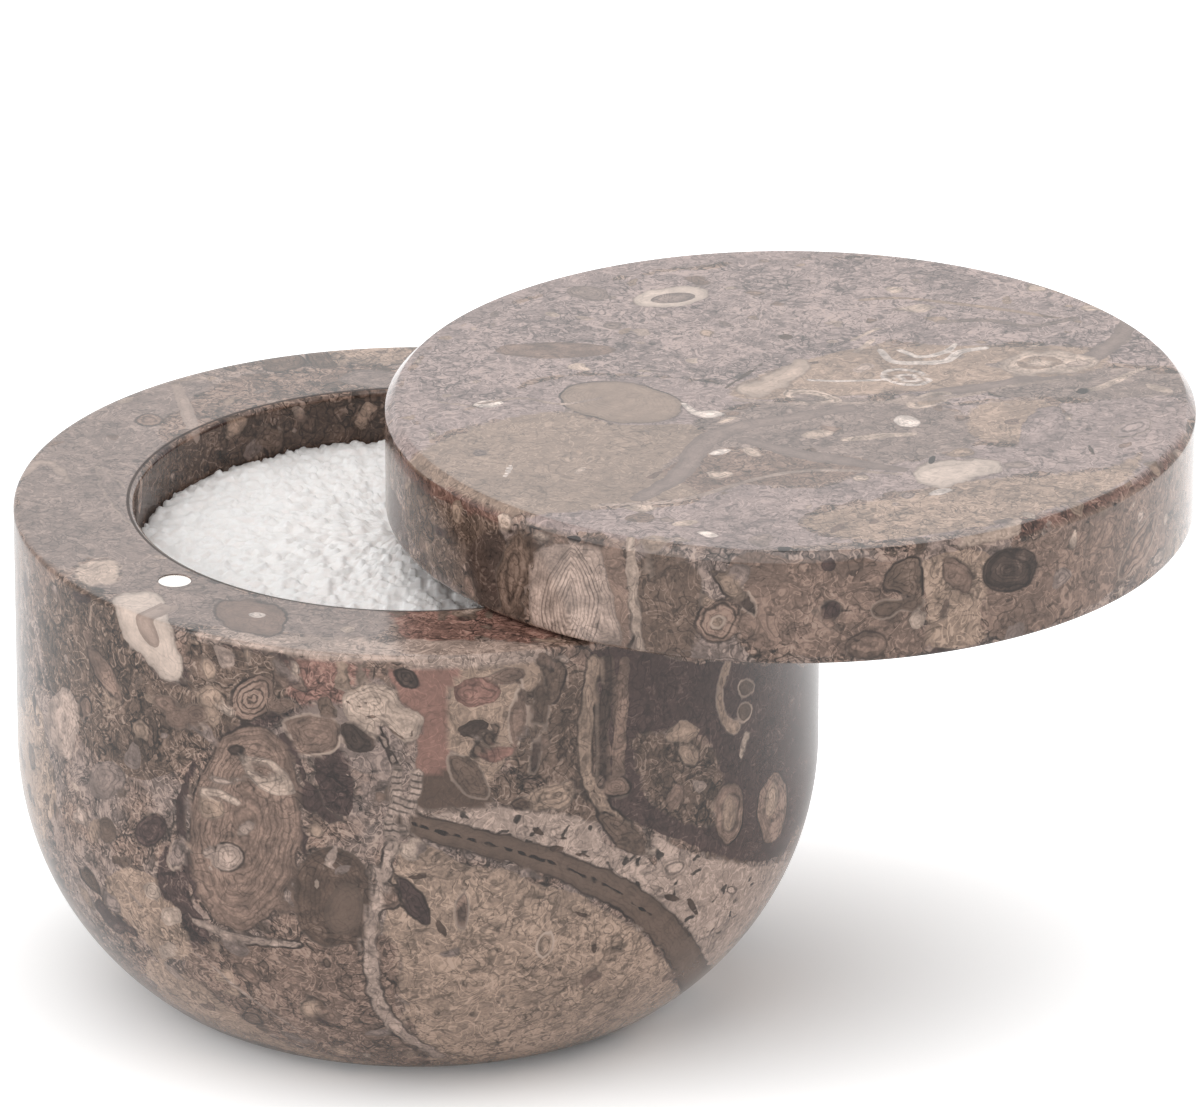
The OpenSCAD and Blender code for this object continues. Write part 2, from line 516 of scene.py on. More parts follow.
    def lay_strand(self, bed, look):
        """A strand, with rungs spaced along it or with rings along its two edges."""
        line = curved(look["through"], STRAND_STEPS, False)
        line = np.array([self.under(place)[0] for place in line])
        widths = np.atleast_1d(look["width"]) / PX_PER_MM
        run = np.diff(line, axis=0)
        length = length_along(line)
        low, high = line.min(0), line.max(0)
        reach = (high - low).max() + 2 * widths.max() + 3 * MARGIN
        near = self.points_near((high + low) / 2, reach)
        from_start = self.point[near][:, None] - line[None, :-1]
        share = np.clip((from_start * run).sum(2) / (run ** 2).sum(1), 0, 1)
        away = np.linalg.norm(from_start - share[..., None] * run, axis=2)
        which = away.argmin(1)
        row = np.arange(len(near))
        along = length[which] + share[row, which] * (length[which + 1] - length[which])
        stops = np.linspace(0, length[-1], len(widths))
        half = np.interp(along, stops, widths) / 2
        ring = along / look["rung"] if look["rung"] else 2 * away[row, which] / half
        self.lay(bed, near, away[row, which] - half, ring, look)

    def lay_dots(self, bed, look):
        """A row of small ovals, each turned along the row."""
        run = curved(look["through"], DOT_STEPS, False)
        length = length_along(run)
        stops = np.arange(look["spacing"] / 2, length[-1], look["spacing"])
        x, y = (np.interp(stops, length, line) for line in run.T)
        turns = np.degrees(np.arctan2(-np.gradient(y), np.gradient(x)))
        for at, turn in zip(zip(x, y), turns):
            self.lay_seen_oval(bed, oval(at, look["half"], turn, look["tone"]))

    def lay_seen_oval(self, bed, look):
        """An oval or a leaf as it is seen in the photograph."""
        centre, normal, flat = self.under(look["at"])
        turn = math.radians(look["turn"])
        along = np.array([math.cos(turn), -math.sin(turn)]) / look["half"][0]
        across = np.array([math.sin(turn), math.cos(turn)]) / look["half"][1]
        self.lay_oval(bed, look, centre, normal, np.array([along, across]) @ flat)

    def paint_hollow_shade(self, tone):
        """Lays one tone all over the hollow, as painted shade that darkens its wall."""
        near = np.flatnonzero(self.inside)
        gap = np.hypot(self.point[near, 0], self.point[near, 1]) - MOUTH_R - MOUTH_EDGE_R
        self.lay("ground", near, gap, HOLLOW_SHADE_GRAIN, dict(band=0, tone=tone, line=NO_LINE))

    def place(self, bed, table):
        """Lays the fossils of a table, each over those before it."""
        ways = dict(oval=self.lay_seen_oval, area=self.lay_area, strand=self.lay_strand,
                    dots=self.lay_dots)
        for look in table.values():
            ways[look["kind"]](bed, look)

    def scatter(self, rng, bed, count, halves, tones, rings=2, band=0.0, lines=(FAINT_LINE,)):
        """Lays fossils of half sizes in millimetres all over the piece, from a seeded draw.

        The places are drawn along the half section and round the axis, because the faces of a
        drilled mesh come in another order each time."""
        start, run = self.section[:-1], np.diff(self.section, axis=0)
        spread = np.hypot(*run.T) * (start[:, 0] + run[:, 0] / 2)
        for index in rng.choice(len(run), count, p=spread / spread.sum()):
            turn = rng.uniform(0, 2 * math.pi)
            out = np.array([math.cos(turn), math.sin(turn), 0])
            r, z = start[index] + rng.uniform() * run[index]
            centre = self.centre + r * out + (0, 0, z)
            normal = (0, 0, run[index][0]) - run[index][1] * out
            normal /= np.linalg.norm(normal)
            side = np.cross(normal, rng.normal(size=3))
            side /= np.linalg.norm(side)
            half = math.exp(rng.uniform(math.log(halves[0]), math.log(halves[1])))
            slim = half * rng.uniform(*SLIM_SHARES)
            axes = np.array([side / half, np.cross(normal, side) / slim])
            look = dict(tone=tones[rng.integers(len(tones))], line=lines[rng.integers(len(lines))],
                        rings=rng.uniform(FEWEST_RINGS, rings), band=band * rng.uniform(),
                        pointed=rng.uniform() < POINTED_SHARE)
            lobes = [(share * rng.uniform(), rng.uniform(*LOBE_ANGLES))
                     for share in LOBE_SHARES]
            self.lay_oval(bed, look, centre, normal, axes, lobes)

    def keep(self):
        """Writes the beds to the mesh, for the material to read."""
        for name, layer in self.bed.items():
            shape = self.mesh.attributes.new(name + "_shape", "FLOAT_VECTOR", "POINT")
            shape.data.foreach_set("vector", np.stack(
                [layer["gap"], layer["ring"], layer["band"]], 1).ravel())
            tone = self.mesh.attributes.new(name + "_tone", "FLOAT_COLOR", "POINT")
            tone.data.foreach_set("color", layer["tone"].ravel())


BOWL_GROUND = {
    "low beige mud": area(
        [(404, 842), (450, 858), (500, 870), (545, 884), (590, 903), (625, 920), (655, 948),
         (680, 985), (684, 1003), (640, 1028), (590, 1046), (520, 1062), (460, 1066), (425, 1048),
         (400, 1000), (386, 950), (388, 900)], BEIGE, FAINT_LINE, grain=0.5, band=0.3),
    "high beige mud": area(
        [(418, 809), (470, 804), (500, 807), (560, 812), (575, 818), (597, 826), (604, 845),
         (640, 852), (655, 862), (650, 838), (640, 827), (662, 837), (690, 850), (720, 860),
         (760, 866), (795, 862), (790, 895), (770, 925), (745, 955), (716, 982), (702, 955),
         (683, 925), (655, 902), (620, 882), (570, 859), (500, 840), (440, 824)],
        PALE, FAINT_LINE, grain=0.4, band=1),
    "brown wedge": area(
        [(424, 766), (452, 762), (475, 785), (493, 801), (480, 807), (420, 808)],
        UMBER, FAINT_LINE, grain=0.15),
    "speckled middle": area(
        [(495, 772), (560, 776), (600, 790), (600, 822), (570, 814), (500, 804)],
        BROWN, grain=0.8),
    "middle brown": area(
        [(515, 690), (585, 665), (590, 780), (520, 775), (505, 740)], BROWN, grain=0.7),
    "upper right": area(
        [(592, 650), (700, 662), (830, 668), (830, 720), (815, 800), (770, 860), (700, 850),
         (640, 825), (605, 800), (598, 720)], PURPLE, grain=0.35),
    "right brown": area(
        [(640, 735), (700, 738), (720, 770), (722, 822), (680, 820), (650, 800), (636, 760)],
        BROWN, FAINT_LINE, grain=0.8),
    "middle beige": area(
        [(455, 672), (500, 668), (535, 663), (541, 680), (520, 700), (514, 735), (505, 765),
         (480, 785), (462, 760), (445, 740), (450, 700)], BEIGE, FAINT_LINE, grain=0.35),
    "red column": area(
        [(388, 663), (458, 664), (455, 680), (446, 700), (449, 745), (446, 768), (424, 772),
         (416, 760), (420, 722), (404, 706), (393, 690)], ROSE, FAINT_LINE, grain=0.2),
    "red left": area(
        [(285, 668), (300, 659), (385, 664), (372, 676), (350, 688), (343, 705), (318, 700),
         (300, 706), (284, 690)], ROSE, grain=0.7),
    "dark column": area(
        [(316, 745), (344, 752), (354, 790), (346, 815), (324, 805), (316, 770)],
        PURPLE, grain=0.5),
    "low left beige": area(
        [(108, 882), (130, 866), (155, 880), (160, 900), (180, 908), (190, 930), (192, 952),
         (160, 957), (130, 925), (110, 905)], BEIGE, grain=0.5),
    "dark left seam": area(
        [(163, 845), (190, 860), (192, 900), (207, 930), (218, 952), (195, 952), (178, 910),
         (158, 885)], PURPLE, grain=0.7),
    "low front": area(
        [(200, 945), (290, 940), (392, 940), (398, 1020), (430, 1066), (350, 1058), (260, 1034),
         (190, 988)], TAUPE, grain=0.8),
    "low left foot": area(
        [(150, 960), (200, 985), (260, 1030), (330, 1058), (220, 1030), (150, 985)],
        BEIGE, grain=0.4),
    # Painted highlight: a pale band along the front of the rim's rounded outer edge, where the
    # polish catches the light
    "painted rim highlight": area(
        [(188, 637), (240, 646), (300, 656), (360, 663), (420, 667), (480, 667), (535, 660),
         (552, 652), (520, 645), (460, 641), (400, 640), (330, 637), (260, 632), (215, 625),
         (195, 630)], PALE, FAINT_LINE, grain=0.5),
    "rim red": area(
        [(385, 611), (440, 608), (500, 608), (545, 622), (560, 640), (500, 639), (440, 640),
         (400, 636), (386, 625)], ROSE, FAINT_LINE, grain=0.8),
    "rim grey left": area(
        [(16, 522), (26, 470), (60, 430), (105, 402), (160, 384), (212, 390), (180, 430),
         (150, 460), (136, 495), (144, 525), (175, 560), (225, 586), (300, 603), (382, 611),
         (386, 634), (300, 634), (240, 628), (180, 624), (120, 596), (70, 574), (36, 552)],
        LILAC, grain=0.38),
    "left speckled": area(
        [(60, 580), (110, 600), (130, 640), (160, 680), (190, 678), (186, 640), (240, 650),
         (282, 662), (284, 700), (230, 730), (180, 770), (110, 770), (60, 700), (40, 620)],
        BROWN, grain=0.9),
    "rim pale left": area(
        [(76, 566), (110, 558), (120, 570), (115, 582), (90, 584), (78, 578)],
        CREAM, FAINT_LINE, grain=0.3),
    "back rim brown": area(
        [(160, 430), (200, 395), (260, 375), (385, 365), (385, 398), (300, 400), (230, 415),
         (180, 445)], TAUPE, grain=0.8),
}

BOWL_FOSSILS = {
    "teardrop": area(
        [(112, 601), (123, 594), (150, 592), (162, 600), (167, 616), (175, 640), (184, 662),
         (184, 674), (177, 682), (165, 681), (150, 664), (130, 645), (119, 620)],
        IVORY, FAINT_LINE, band=CALM),
    "rim oval": area(
        [(216, 606), (238, 599), (265, 603), (286, 612), (284, 626), (274, 636), (250, 634),
         (230, 628), (216, 617)], TAUPE, DARK_LINE, band=CALM),
    "ringed shell": oval((252, 698), (25, 19), 50, TAUPE, DARK_LINE, rings=4, band=0.9),
    "ringed neighbour": area(
        [(282, 720), (300, 716), (332, 718), (340, 735), (332, 750), (302, 754), (285, 741)],
        TAUPE, LIGHT_LINE),
    "nodule right shade": strand(
        [(283, 735), (298, 765), (304, 800), (302, 850)], (10, 14, 10), PURPLE),
    "nodule left shade": strand(
        [(196, 760), (182, 800), (183, 850), (198, 900)], (7, 10, 8), PURPLE),
    "nodule": oval((244, 829), (104, 56), 85, TAUPE, DARK_LINE, rings=9, band=0.25),
    "dark egg": area(
        [(324, 846), (350, 852), (370, 876), (379, 912), (364, 938), (328, 946), (302, 930),
         (295, 896), (303, 862)], UMBER, FAINT_LINE),
    "dark lobe": oval((309, 797), (15, 9), 85, PURPLE, DARK_LINE),
    "disc by the vein": oval((391, 897), (13, 12), 0, TAUPE, DARK_LINE, rings=1.5, band=0.5),
    "leaf by the vein": leaf((414, 902), (27, 11), -58, PURPLE, DARK_LINE),
    "cream cluster": area(
        [(343, 697), (352, 690), (375, 682), (395, 690), (402, 706), (424, 714), (420, 732),
         (412, 742), (400, 740), (385, 726), (375, 736), (355, 724), (343, 714)],
        CREAM, FAINT_LINE),
    "dark shard": oval((407, 679), (14, 8), -45, DARK, DARK_LINE),
    "dark under cream": area([(342, 722), (360, 728), (376, 742), (365, 754), (345, 745)], DARK),
    "rose oval": oval((478, 692), (24, 14), 5, ROSE),
    "smoky oval": oval((474, 728), (16, 8), 20, DARK),
    "slim leaf": leaf((489, 742), (24, 5), 62, BROWN, DARK_LINE),
    "slimmer leaf": leaf((478, 747), (16, 4), 66, BROWN, DARK_LINE),
    "big leaf": leaf((468, 776), (30, 15), -52, BROWN, PALE_LINE),
    "rose leaf": leaf((497, 754), (20, 8), 15, ROSE, FAINT_LINE),
    "rim leaf": leaf((507, 676), (20, 8), 12, TAUPE, FAINT_LINE),
    "upright leaf": leaf((518, 715), (34, 9), 84, TAUPE, LIGHT_LINE),
    "second upright leaf": leaf((541, 712), (36, 8), 88, BROWN, PALE_LINE),
    "third upright leaf": leaf((535, 755), (26, 6), 80, DARK, PALE_LINE),
    "left disc": oval((150, 830), (18, 14), 45, PURPLE, DARK_LINE, rings=1.5, band=0.4),
    "left tooth": oval((107, 831), (14, 9), 90, BROWN, FAINT_LINE),
    "left loop": oval((178, 854), (17, 9), 78, LILAC, LIGHT_LINE, rings=1.5, band=0.5),
    "left lens": oval((186, 717), (21, 11), 8, TAUPE, FAINT_LINE),
    "left arc": leaf((105, 675), (34, 9), -58, TAUPE, DARK_LINE),
    "left small loop": oval((84, 708), (12, 7), 78, TAUPE, DARK_LINE),
    "left pale slab": area(
        [(60, 690), (72, 690), (80, 720), (70, 760), (52, 745), (48, 710)], PALE),
    "left lower slab": area([(86, 780), (100, 762), (120, 765), (125, 785), (100, 800)], LILAC),
    "band under the nodule": strand(
        [(193, 920), (214, 930), (236, 938), (267, 943), (300, 945)],
        (7, 13, 12, 7), PALE, DARK_LINE),
    "broken vein": strand([(377, 727), (388, 748), (398, 770)], 5, PALE, DARK_LINE),
    "low cream slab": area([(163, 908), (178, 905), (182, 918), (172, 925), (162, 922)], CREAM),
    "low cream tooth": area([(143, 885), (158, 882), (158, 898), (146, 896)], CREAM),
    "low cream corner": area([(160, 946), (172, 942), (176, 952), (164, 958)], CREAM),
    "curved stem": strand(
        [(410, 823), (440, 832), (500, 847), (560, 866), (610, 888), (650, 915), (678, 945),
         (698, 985)], (24, 30, 34, 38), BROWN, DARK_LINE, band=CALM),
    "ladder left": strand(
        [(397, 768), (396, 800), (390, 825), (392, 850)],
        (8, 12, 9), PALE, FAINT_LINE, rung=0.9, band=0.9),
    "ladder right": strand(
        [(417, 773), (414, 795), (407, 815), (402, 838)],
        (10, 11, 8), PALE, FAINT_LINE, rung=0.9, band=0.9),
    "long vein": strand(
        [(392, 845), (383, 880), (372, 925), (371, 960), (378, 1000), (400, 1032), (440, 1056)],
        (12, 15, 17, 12), PALE, DARK_LINE),
    "purple stem": strand(
        [(594, 662), (589, 700), (585, 740), (587, 775), (600, 802), (632, 832)],
        (17, 17, 15, 11), BEIGE, DARK_LINE),
    "stem foot": leaf((622, 834), (34, 12), -40, BROWN, DARK_LINE),
    "stem shadow": strand([(609, 660), (606, 700), (603, 740), (606, 785)], (12, 14, 10), DARK),
    "stem side": strand([(624, 662), (622, 710), (618, 760), (622, 795)], (14, 16), TAUPE),
    "right loop": strand(
        [(727, 664), (720, 690), (722, 715), (736, 728)], (9, 9, 12), BEIGE, PALE_LINE),
    "right upper ring": oval((746, 688), (9, 8), 60, BROWN, LIGHT_LINE),
    "right lower ring": oval((745, 711), (9, 7), 70, BROWN, LIGHT_LINE),
    "right grape": oval((729, 812), (31, 15), 88, TAUPE, DARK_LINE, rings=2, band=0.5),
    "right outer grape": oval((774, 808), (36, 15), 86, TAUPE, DARK_LINE, rings=1.5, band=0.3),
    "right tooth": oval((688, 754), (15, 10), -62, BEIGE, DARK_LINE),
    "right beak": leaf((682, 733), (20, 10), 12, BEIGE, FAINT_LINE),
    "right bud": oval((618, 787), (14, 11), 0, TAUPE, DARK_LINE),
    "rim lens": leaf((118, 497), (38, 10), -55, LILAC, PALE_LINE),
    "rim speck": oval((348, 630), (7, 3), 0, CREAM),
    "rim streak": strand([(176, 386), (187, 412), (198, 442)], (10, 16, 10), PALE, band=CALM),
    "rim cream curl": strand(
        [(24, 474), (40, 462), (58, 468), (68, 482)], (14, 12, 6), PALE, FAINT_LINE, band=CALM),
    "rim dark ring": oval((150, 420), (14, 6), 0, TAUPE, DARK_LINE, rings=1.5, band=0.6),
    "back rim dot": oval((270, 440), (14, 12), 0, BROWN, DARK_LINE, rings=2, band=0.3),
}

BOWL_DETAILS = {
    "teardrop core": oval((147, 629), (21, 8), -62, PALE, band=CALM),
    "rim oval glint": oval((257, 615), (9, 2.5), 0, BONE),
    "nodule leaf": leaf((268, 776), (34, 15), -33, CREAM, FAINT_LINE),
    "nodule leaf rib": leaf((262, 770), (14, 5), -20, TAUPE, FAINT_LINE),
    "nodule scroll": oval((226, 857), (18, 14), 0, PALE, DARK_LINE),
    "nodule scroll bed": area([(202, 852), (215, 845), (208, 868), (216, 872)], PALE),
    "nodule box": area([(200, 800), (220, 800), (224, 816), (204, 818)], BEIGE, FAINT_LINE),
    "nodule comma": oval((246, 828), (11, 6), 40, PALE, FAINT_LINE),
    "nodule bar": strand([(203, 792), (218, 793), (238, 803)], (10, 7), CREAM, FAINT_LINE),
    "nodule upper bar": strand([(212, 779), (228, 782), (243, 778)], (8, 4), PALE, FAINT_LINE),
    "nodule dark eye": oval((236, 750), (8, 5), 0, DARK, DARK_LINE),
    "egg star": leaf((331, 857), (17, 5), 62, PALE),
    "egg ray": leaf((342, 870), (12, 4), 20, LILAC),
    "egg yolk": oval((344, 910), (27, 19), 75, BROWN, band=CALM),
    "egg fleck": leaf((316, 885), (9, 3), 70, CREAM),
    "stem dots": dots(
        [(410, 823), (440, 832), (500, 847), (560, 866), (610, 888), (650, 915)],
        (4.5, 2), INK, 11),
    "upright stem dots": dots(
        [(594, 662), (589, 700), (585, 740), (587, 775), (600, 802)], (5, 1.3), BROWN, 15),
    "grape core": oval((729, 812), (19, 7), 88, BEIGE, FAINT_LINE),
    "outer grape core": oval((772, 800), (18, 6), 82, BEIGE),
    "cream furrow": strand([(346, 702), (358, 706), (368, 703)], 3, BROWN),
    "cream second furrow": strand([(346, 714), (360, 718), (376, 716)], 3, TAUPE),
    "cream fold": strand([(385, 724), (398, 736), (408, 738), (418, 724)], 3, BROWN),
    "cream lip": strand([(402, 702), (412, 710), (424, 713)], 2.5, BROWN),
    "beige loop": strand([(448, 815), (455, 822), (468, 825)], 2.5, BROWN),
    "mud ring": oval((732, 890), (5, 4), 0, PALE, DARK_LINE),
    "mud arc": oval((675, 868), (13, 9), 20, PALE, FAINT_LINE, rings=1.5, band=0.5),
    "mud leaf": leaf((462, 912), (24, 7), 88, TAUPE, PALE_LINE, rings=2, band=0.6),
    "mud tick": leaf((420, 876), (13, 3), 10, UMBER),
    "mud low tick": leaf((441, 928), (12, 4), -60, UMBER),
    "mud right tick": leaf((583, 915), (11, 2.5), -15, UMBER),
    "mud far tick": leaf((594, 947), (9, 2.5), -75, UMBER),
    "high spot": oval((538, 831), (6, 4), -20, UMBER),
    "high lines": leaf((562, 838), (13, 2), -8, UMBER),
    "high second spot": oval((558, 849), (8, 3.5), 0, UMBER),
    "high tick": leaf((582, 855), (12, 2.5), -10, UMBER),
    "high right tick": leaf((672, 898), (9, 3.5), -15, UMBER),
    "high far tick": leaf((693, 907), (11, 3.5), -60, UMBER),
    "mud curl": leaf((545, 945), (16, 8), 70, BEIGE, LIGHT_LINE),
    "light seam": strand(
        [(190, 950), (213, 966), (232, 984), (262, 1006), (300, 1032)], (3, 5, 3), PALE),
    "left seam": strand([(125, 890), (140, 905), (152, 925), (168, 938)], (3, 3, 2), PALE),
}

LID_GROUND = {
    "top mud": area(
        [(384, 400), (400, 345), (470, 300), (600, 262), (760, 248), (900, 252), (1050, 282),
         (1150, 330), (1192, 390), (1188, 430), (1140, 475), (1060, 510), (960, 532), (820, 545),
         (700, 545), (580, 535), (480, 508), (420, 472), (390, 435)], MAUVE, grain=0.4, band=0.3),
    "top lilac": area(
        [(390, 420), (440, 340), (560, 290), (760, 262), (960, 262), (1100, 310), (1180, 360),
         (1192, 400), (1100, 395), (1000, 400), (900, 405), (760, 395), (700, 380), (560, 375),
         (480, 405)], MAUVE, grain=0.66),
    "top lilac streak": area(
        [(700, 420), (760, 404), (860, 398), (960, 412), (980, 440), (900, 462), (800, 470),
         (720, 455), (680, 480), (640, 490), (660, 455)], LILAC, grain=0.4),
    "top brown streak": area(
        [(650, 480), (690, 458), (740, 450), (800, 452), (870, 462), (820, 486), (740, 484),
         (690, 500), (640, 502)], TAUPE, grain=0.5),
    "top right streak": area(
        [(1000, 384), (1080, 372), (1120, 366), (1180, 372), (1186, 392), (1120, 398), (1060, 400),
         (1000, 396)], LILAC, grain=0.4),
    "top beige left": area(
        [(405, 468), (440, 440), (480, 425), (560, 412), (620, 425), (690, 425), (702, 440),
         (660, 470), (700, 495), (640, 505), (560, 512), (500, 515), (440, 492)],
        OLIVE, grain=0.3),
    "top beige middle": area(
        [(735, 388), (790, 365), (880, 345), (960, 346), (1090, 348), (1100, 368), (1000, 384),
         (900, 392), (800, 398), (742, 398)], BEIGE, FAINT_LINE, grain=0.35),
    "top beige right": area(
        [(980, 405), (1050, 402), (1062, 430), (1010, 445), (970, 432)], BEIGE, grain=0.4),
    "top beige front": area(
        [(980, 480), (1100, 470), (1140, 455), (1120, 485), (1040, 512), (960, 530), (860, 540),
         (800, 520), (900, 495)], BEIGE, grain=0.5),
    "side dark left": area(
        [(410, 480), (440, 500), (500, 520), (530, 540), (525, 625), (480, 605), (430, 560),
         (405, 520)], BROWN, grain=0.7),
    "side core": area(
        [(470, 545), (500, 535), (510, 600), (488, 608), (465, 580)], DARK, grain=0.4),
    "side purple": area(
        [(600, 550), (625, 553), (628, 652), (608, 648), (604, 600)], TAUPE, grain=0.3),
    "side brown": area(
        [(640, 560), (690, 562), (700, 600), (690, 650), (640, 645)],
        BROWN, FAINT_LINE, grain=0.5),
    "side stripes": area(
        [(735, 562), (790, 562), (800, 600), (780, 650), (740, 640)], TAUPE, grain=0.4),
    "side middle": area(
        [(790, 565), (840, 562), (900, 560), (922, 558), (925, 600), (928, 650), (870, 657),
         (830, 655), (785, 650), (800, 600)], TAUPE, grain=0.6),
    "side beige": area(
        [(920, 562), (985, 552), (1000, 600), (985, 640), (930, 645), (925, 600)],
        BEIGE, grain=0.5),
    "side speckled": area(
        [(1020, 525), (1080, 510), (1160, 470), (1195, 450), (1195, 500), (1150, 560), (1080, 610),
         (1000, 640), (985, 600), (1010, 560)], TAUPE, grain=0.45, band=0.5),
    # Painted shade: darker reddish bands along the lid's bevel, at its left and right
    "painted bevel shade left": area(
        [(398, 452), (420, 474), (460, 496), (504, 512), (504, 522), (455, 508), (415, 484),
         (396, 462)], RUST, grain=0.5),
    "painted bevel shade right": area(
        [(1020, 519), (1060, 510), (1110, 492), (1150, 470), (1184, 436), (1186, 446), (1156, 478),
         (1112, 503), (1060, 524), (1020, 540)], RUST, FAINT_LINE, grain=0.8),
}

LID_FOSSILS = {
    "agate": area(
        [(538, 552), (556, 545), (596, 549), (606, 572), (612, 600), (622, 640), (600, 646),
         (560, 638), (534, 628), (528, 590)], PALE, FAINT_LINE),
    "agate neighbour": leaf((513, 575), (48, 16), 82, BROWN, FAINT_LINE, rings=2, band=0.5),
    "white vein": strand(
        [(630, 540), (632, 575), (634, 600), (640, 650)], (10, 12, 9), CREAM, FAINT_LINE),
    "eye": oval((718, 622), (24, 20), 30, TAUPE, DARK_LINE, rings=2.5, band=0.8),
    "dark plum": oval((1010, 570), (28, 21), 18, DARK, DARK_LINE, rings=1.5, band=0.4),
    "grey drop": leaf((958, 575), (22, 14), -50, TAUPE, DARK_LINE),
    "dark bead": oval((830, 610), (10, 10), 0, PURPLE, FAINT_LINE),
    "dark upper bead": oval((829, 566), (8, 6), 0, PURPLE),
    "dark block": area(
        [(884, 578), (897, 562), (918, 557), (923, 580), (920, 598), (900, 594), (886, 590)],
        BROWN, DARK_LINE),
    "lower block": area(
        [(872, 606), (890, 600), (925, 600), (916, 610), (900, 612), (888, 620), (876, 616)],
        BROWN, PALE_LINE),
    "open ring": oval((866, 645), (20, 14), 10, TAUPE, DARK_LINE, rings=1.2, band=0.3),
    "pale shard": leaf((745, 600), (26, 7), -55, DARK, LIGHT_LINE),
    "pale second shard": leaf((728, 584), (22, 8), -40, BEIGE, DARK_LINE),
    "right shard": leaf((1105, 530), (34, 12), 55, TAUPE, FAINT_LINE),
    "right lines": leaf((1140, 545), (44, 10), 62, TAUPE, PALE_LINE, rings=2, band=0.6),
    "chamfer tooth": area(
        [(962, 538), (990, 530), (1020, 520), (1021, 536), (990, 543), (968, 546)],
        CREAM, FAINT_LINE, smooth=False),
    "olive oval": oval((621, 402), (62, 20), -6, OLIVE, DARK_LINE, band=CALM),
    "top plum": oval((640, 518), (15, 5), 0, TAUPE),
    "top plum cap": leaf((641, 508), (16, 4), 0, CREAM),
    "top back lens": oval((588, 293), (22, 7), -6, LILAC),
    "right loop": oval((1132, 428), (20, 8), 20, MAUVE, PALE_LINE, rings=2, band=0.6),
    "front drop": leaf((655, 540), (16, 5), 0, OLIVE, PALE_LINE),
    "lilac ribbon": strand(
        [(1128, 318), (1122, 336), (1100, 352), (1060, 372), (1000, 385), (940, 392)],
        (10, 22, 26, 18), LILAC, band=CALM),
    "lilac sweep": strand(
        [(640, 498), (680, 474), (700, 446), (735, 428), (790, 418), (850, 408)],
        (20, 26, 18), LILAC, band=CALM),
    "lilac low sweep": strand(
        [(745, 440), (790, 452), (850, 462), (905, 470)], (16, 24, 12), LILAC, band=CALM),
    "top mauve slab": area([(1030, 415), (1060, 408), (1066, 436), (1020, 448)], MAUVE),
    "ring of cream": oval((671, 297), (38, 10), 5, IVORY, FAINT_LINE, band=CALM),
    "white drop": oval((907, 421), (14, 6), -10, BONE),
    "cream slab": area(
        [(913, 472), (930, 463), (985, 459), (1003, 468), (976, 478), (945, 487), (922, 483)],
        IVORY, FAINT_LINE, band=CALM),
    "white dash": leaf((487, 404), (18, 3.5), 4, BONE),
    "cream arrow": area(
        [(736, 387), (765, 376), (800, 360), (808, 369), (780, 389), (750, 398)],
        CREAM, FAINT_LINE, band=CALM),
    "upper cream bar": leaf((918, 308), (20, 4), 2, CREAM),
    "cream nest": area(
        [(1003, 362), (1030, 351), (1085, 356), (1096, 366), (1060, 374), (1012, 374)],
        CREAM, FAINT_LINE),
    "left pale oval": oval((555, 350), (60, 8), 0, TAUPE),
}

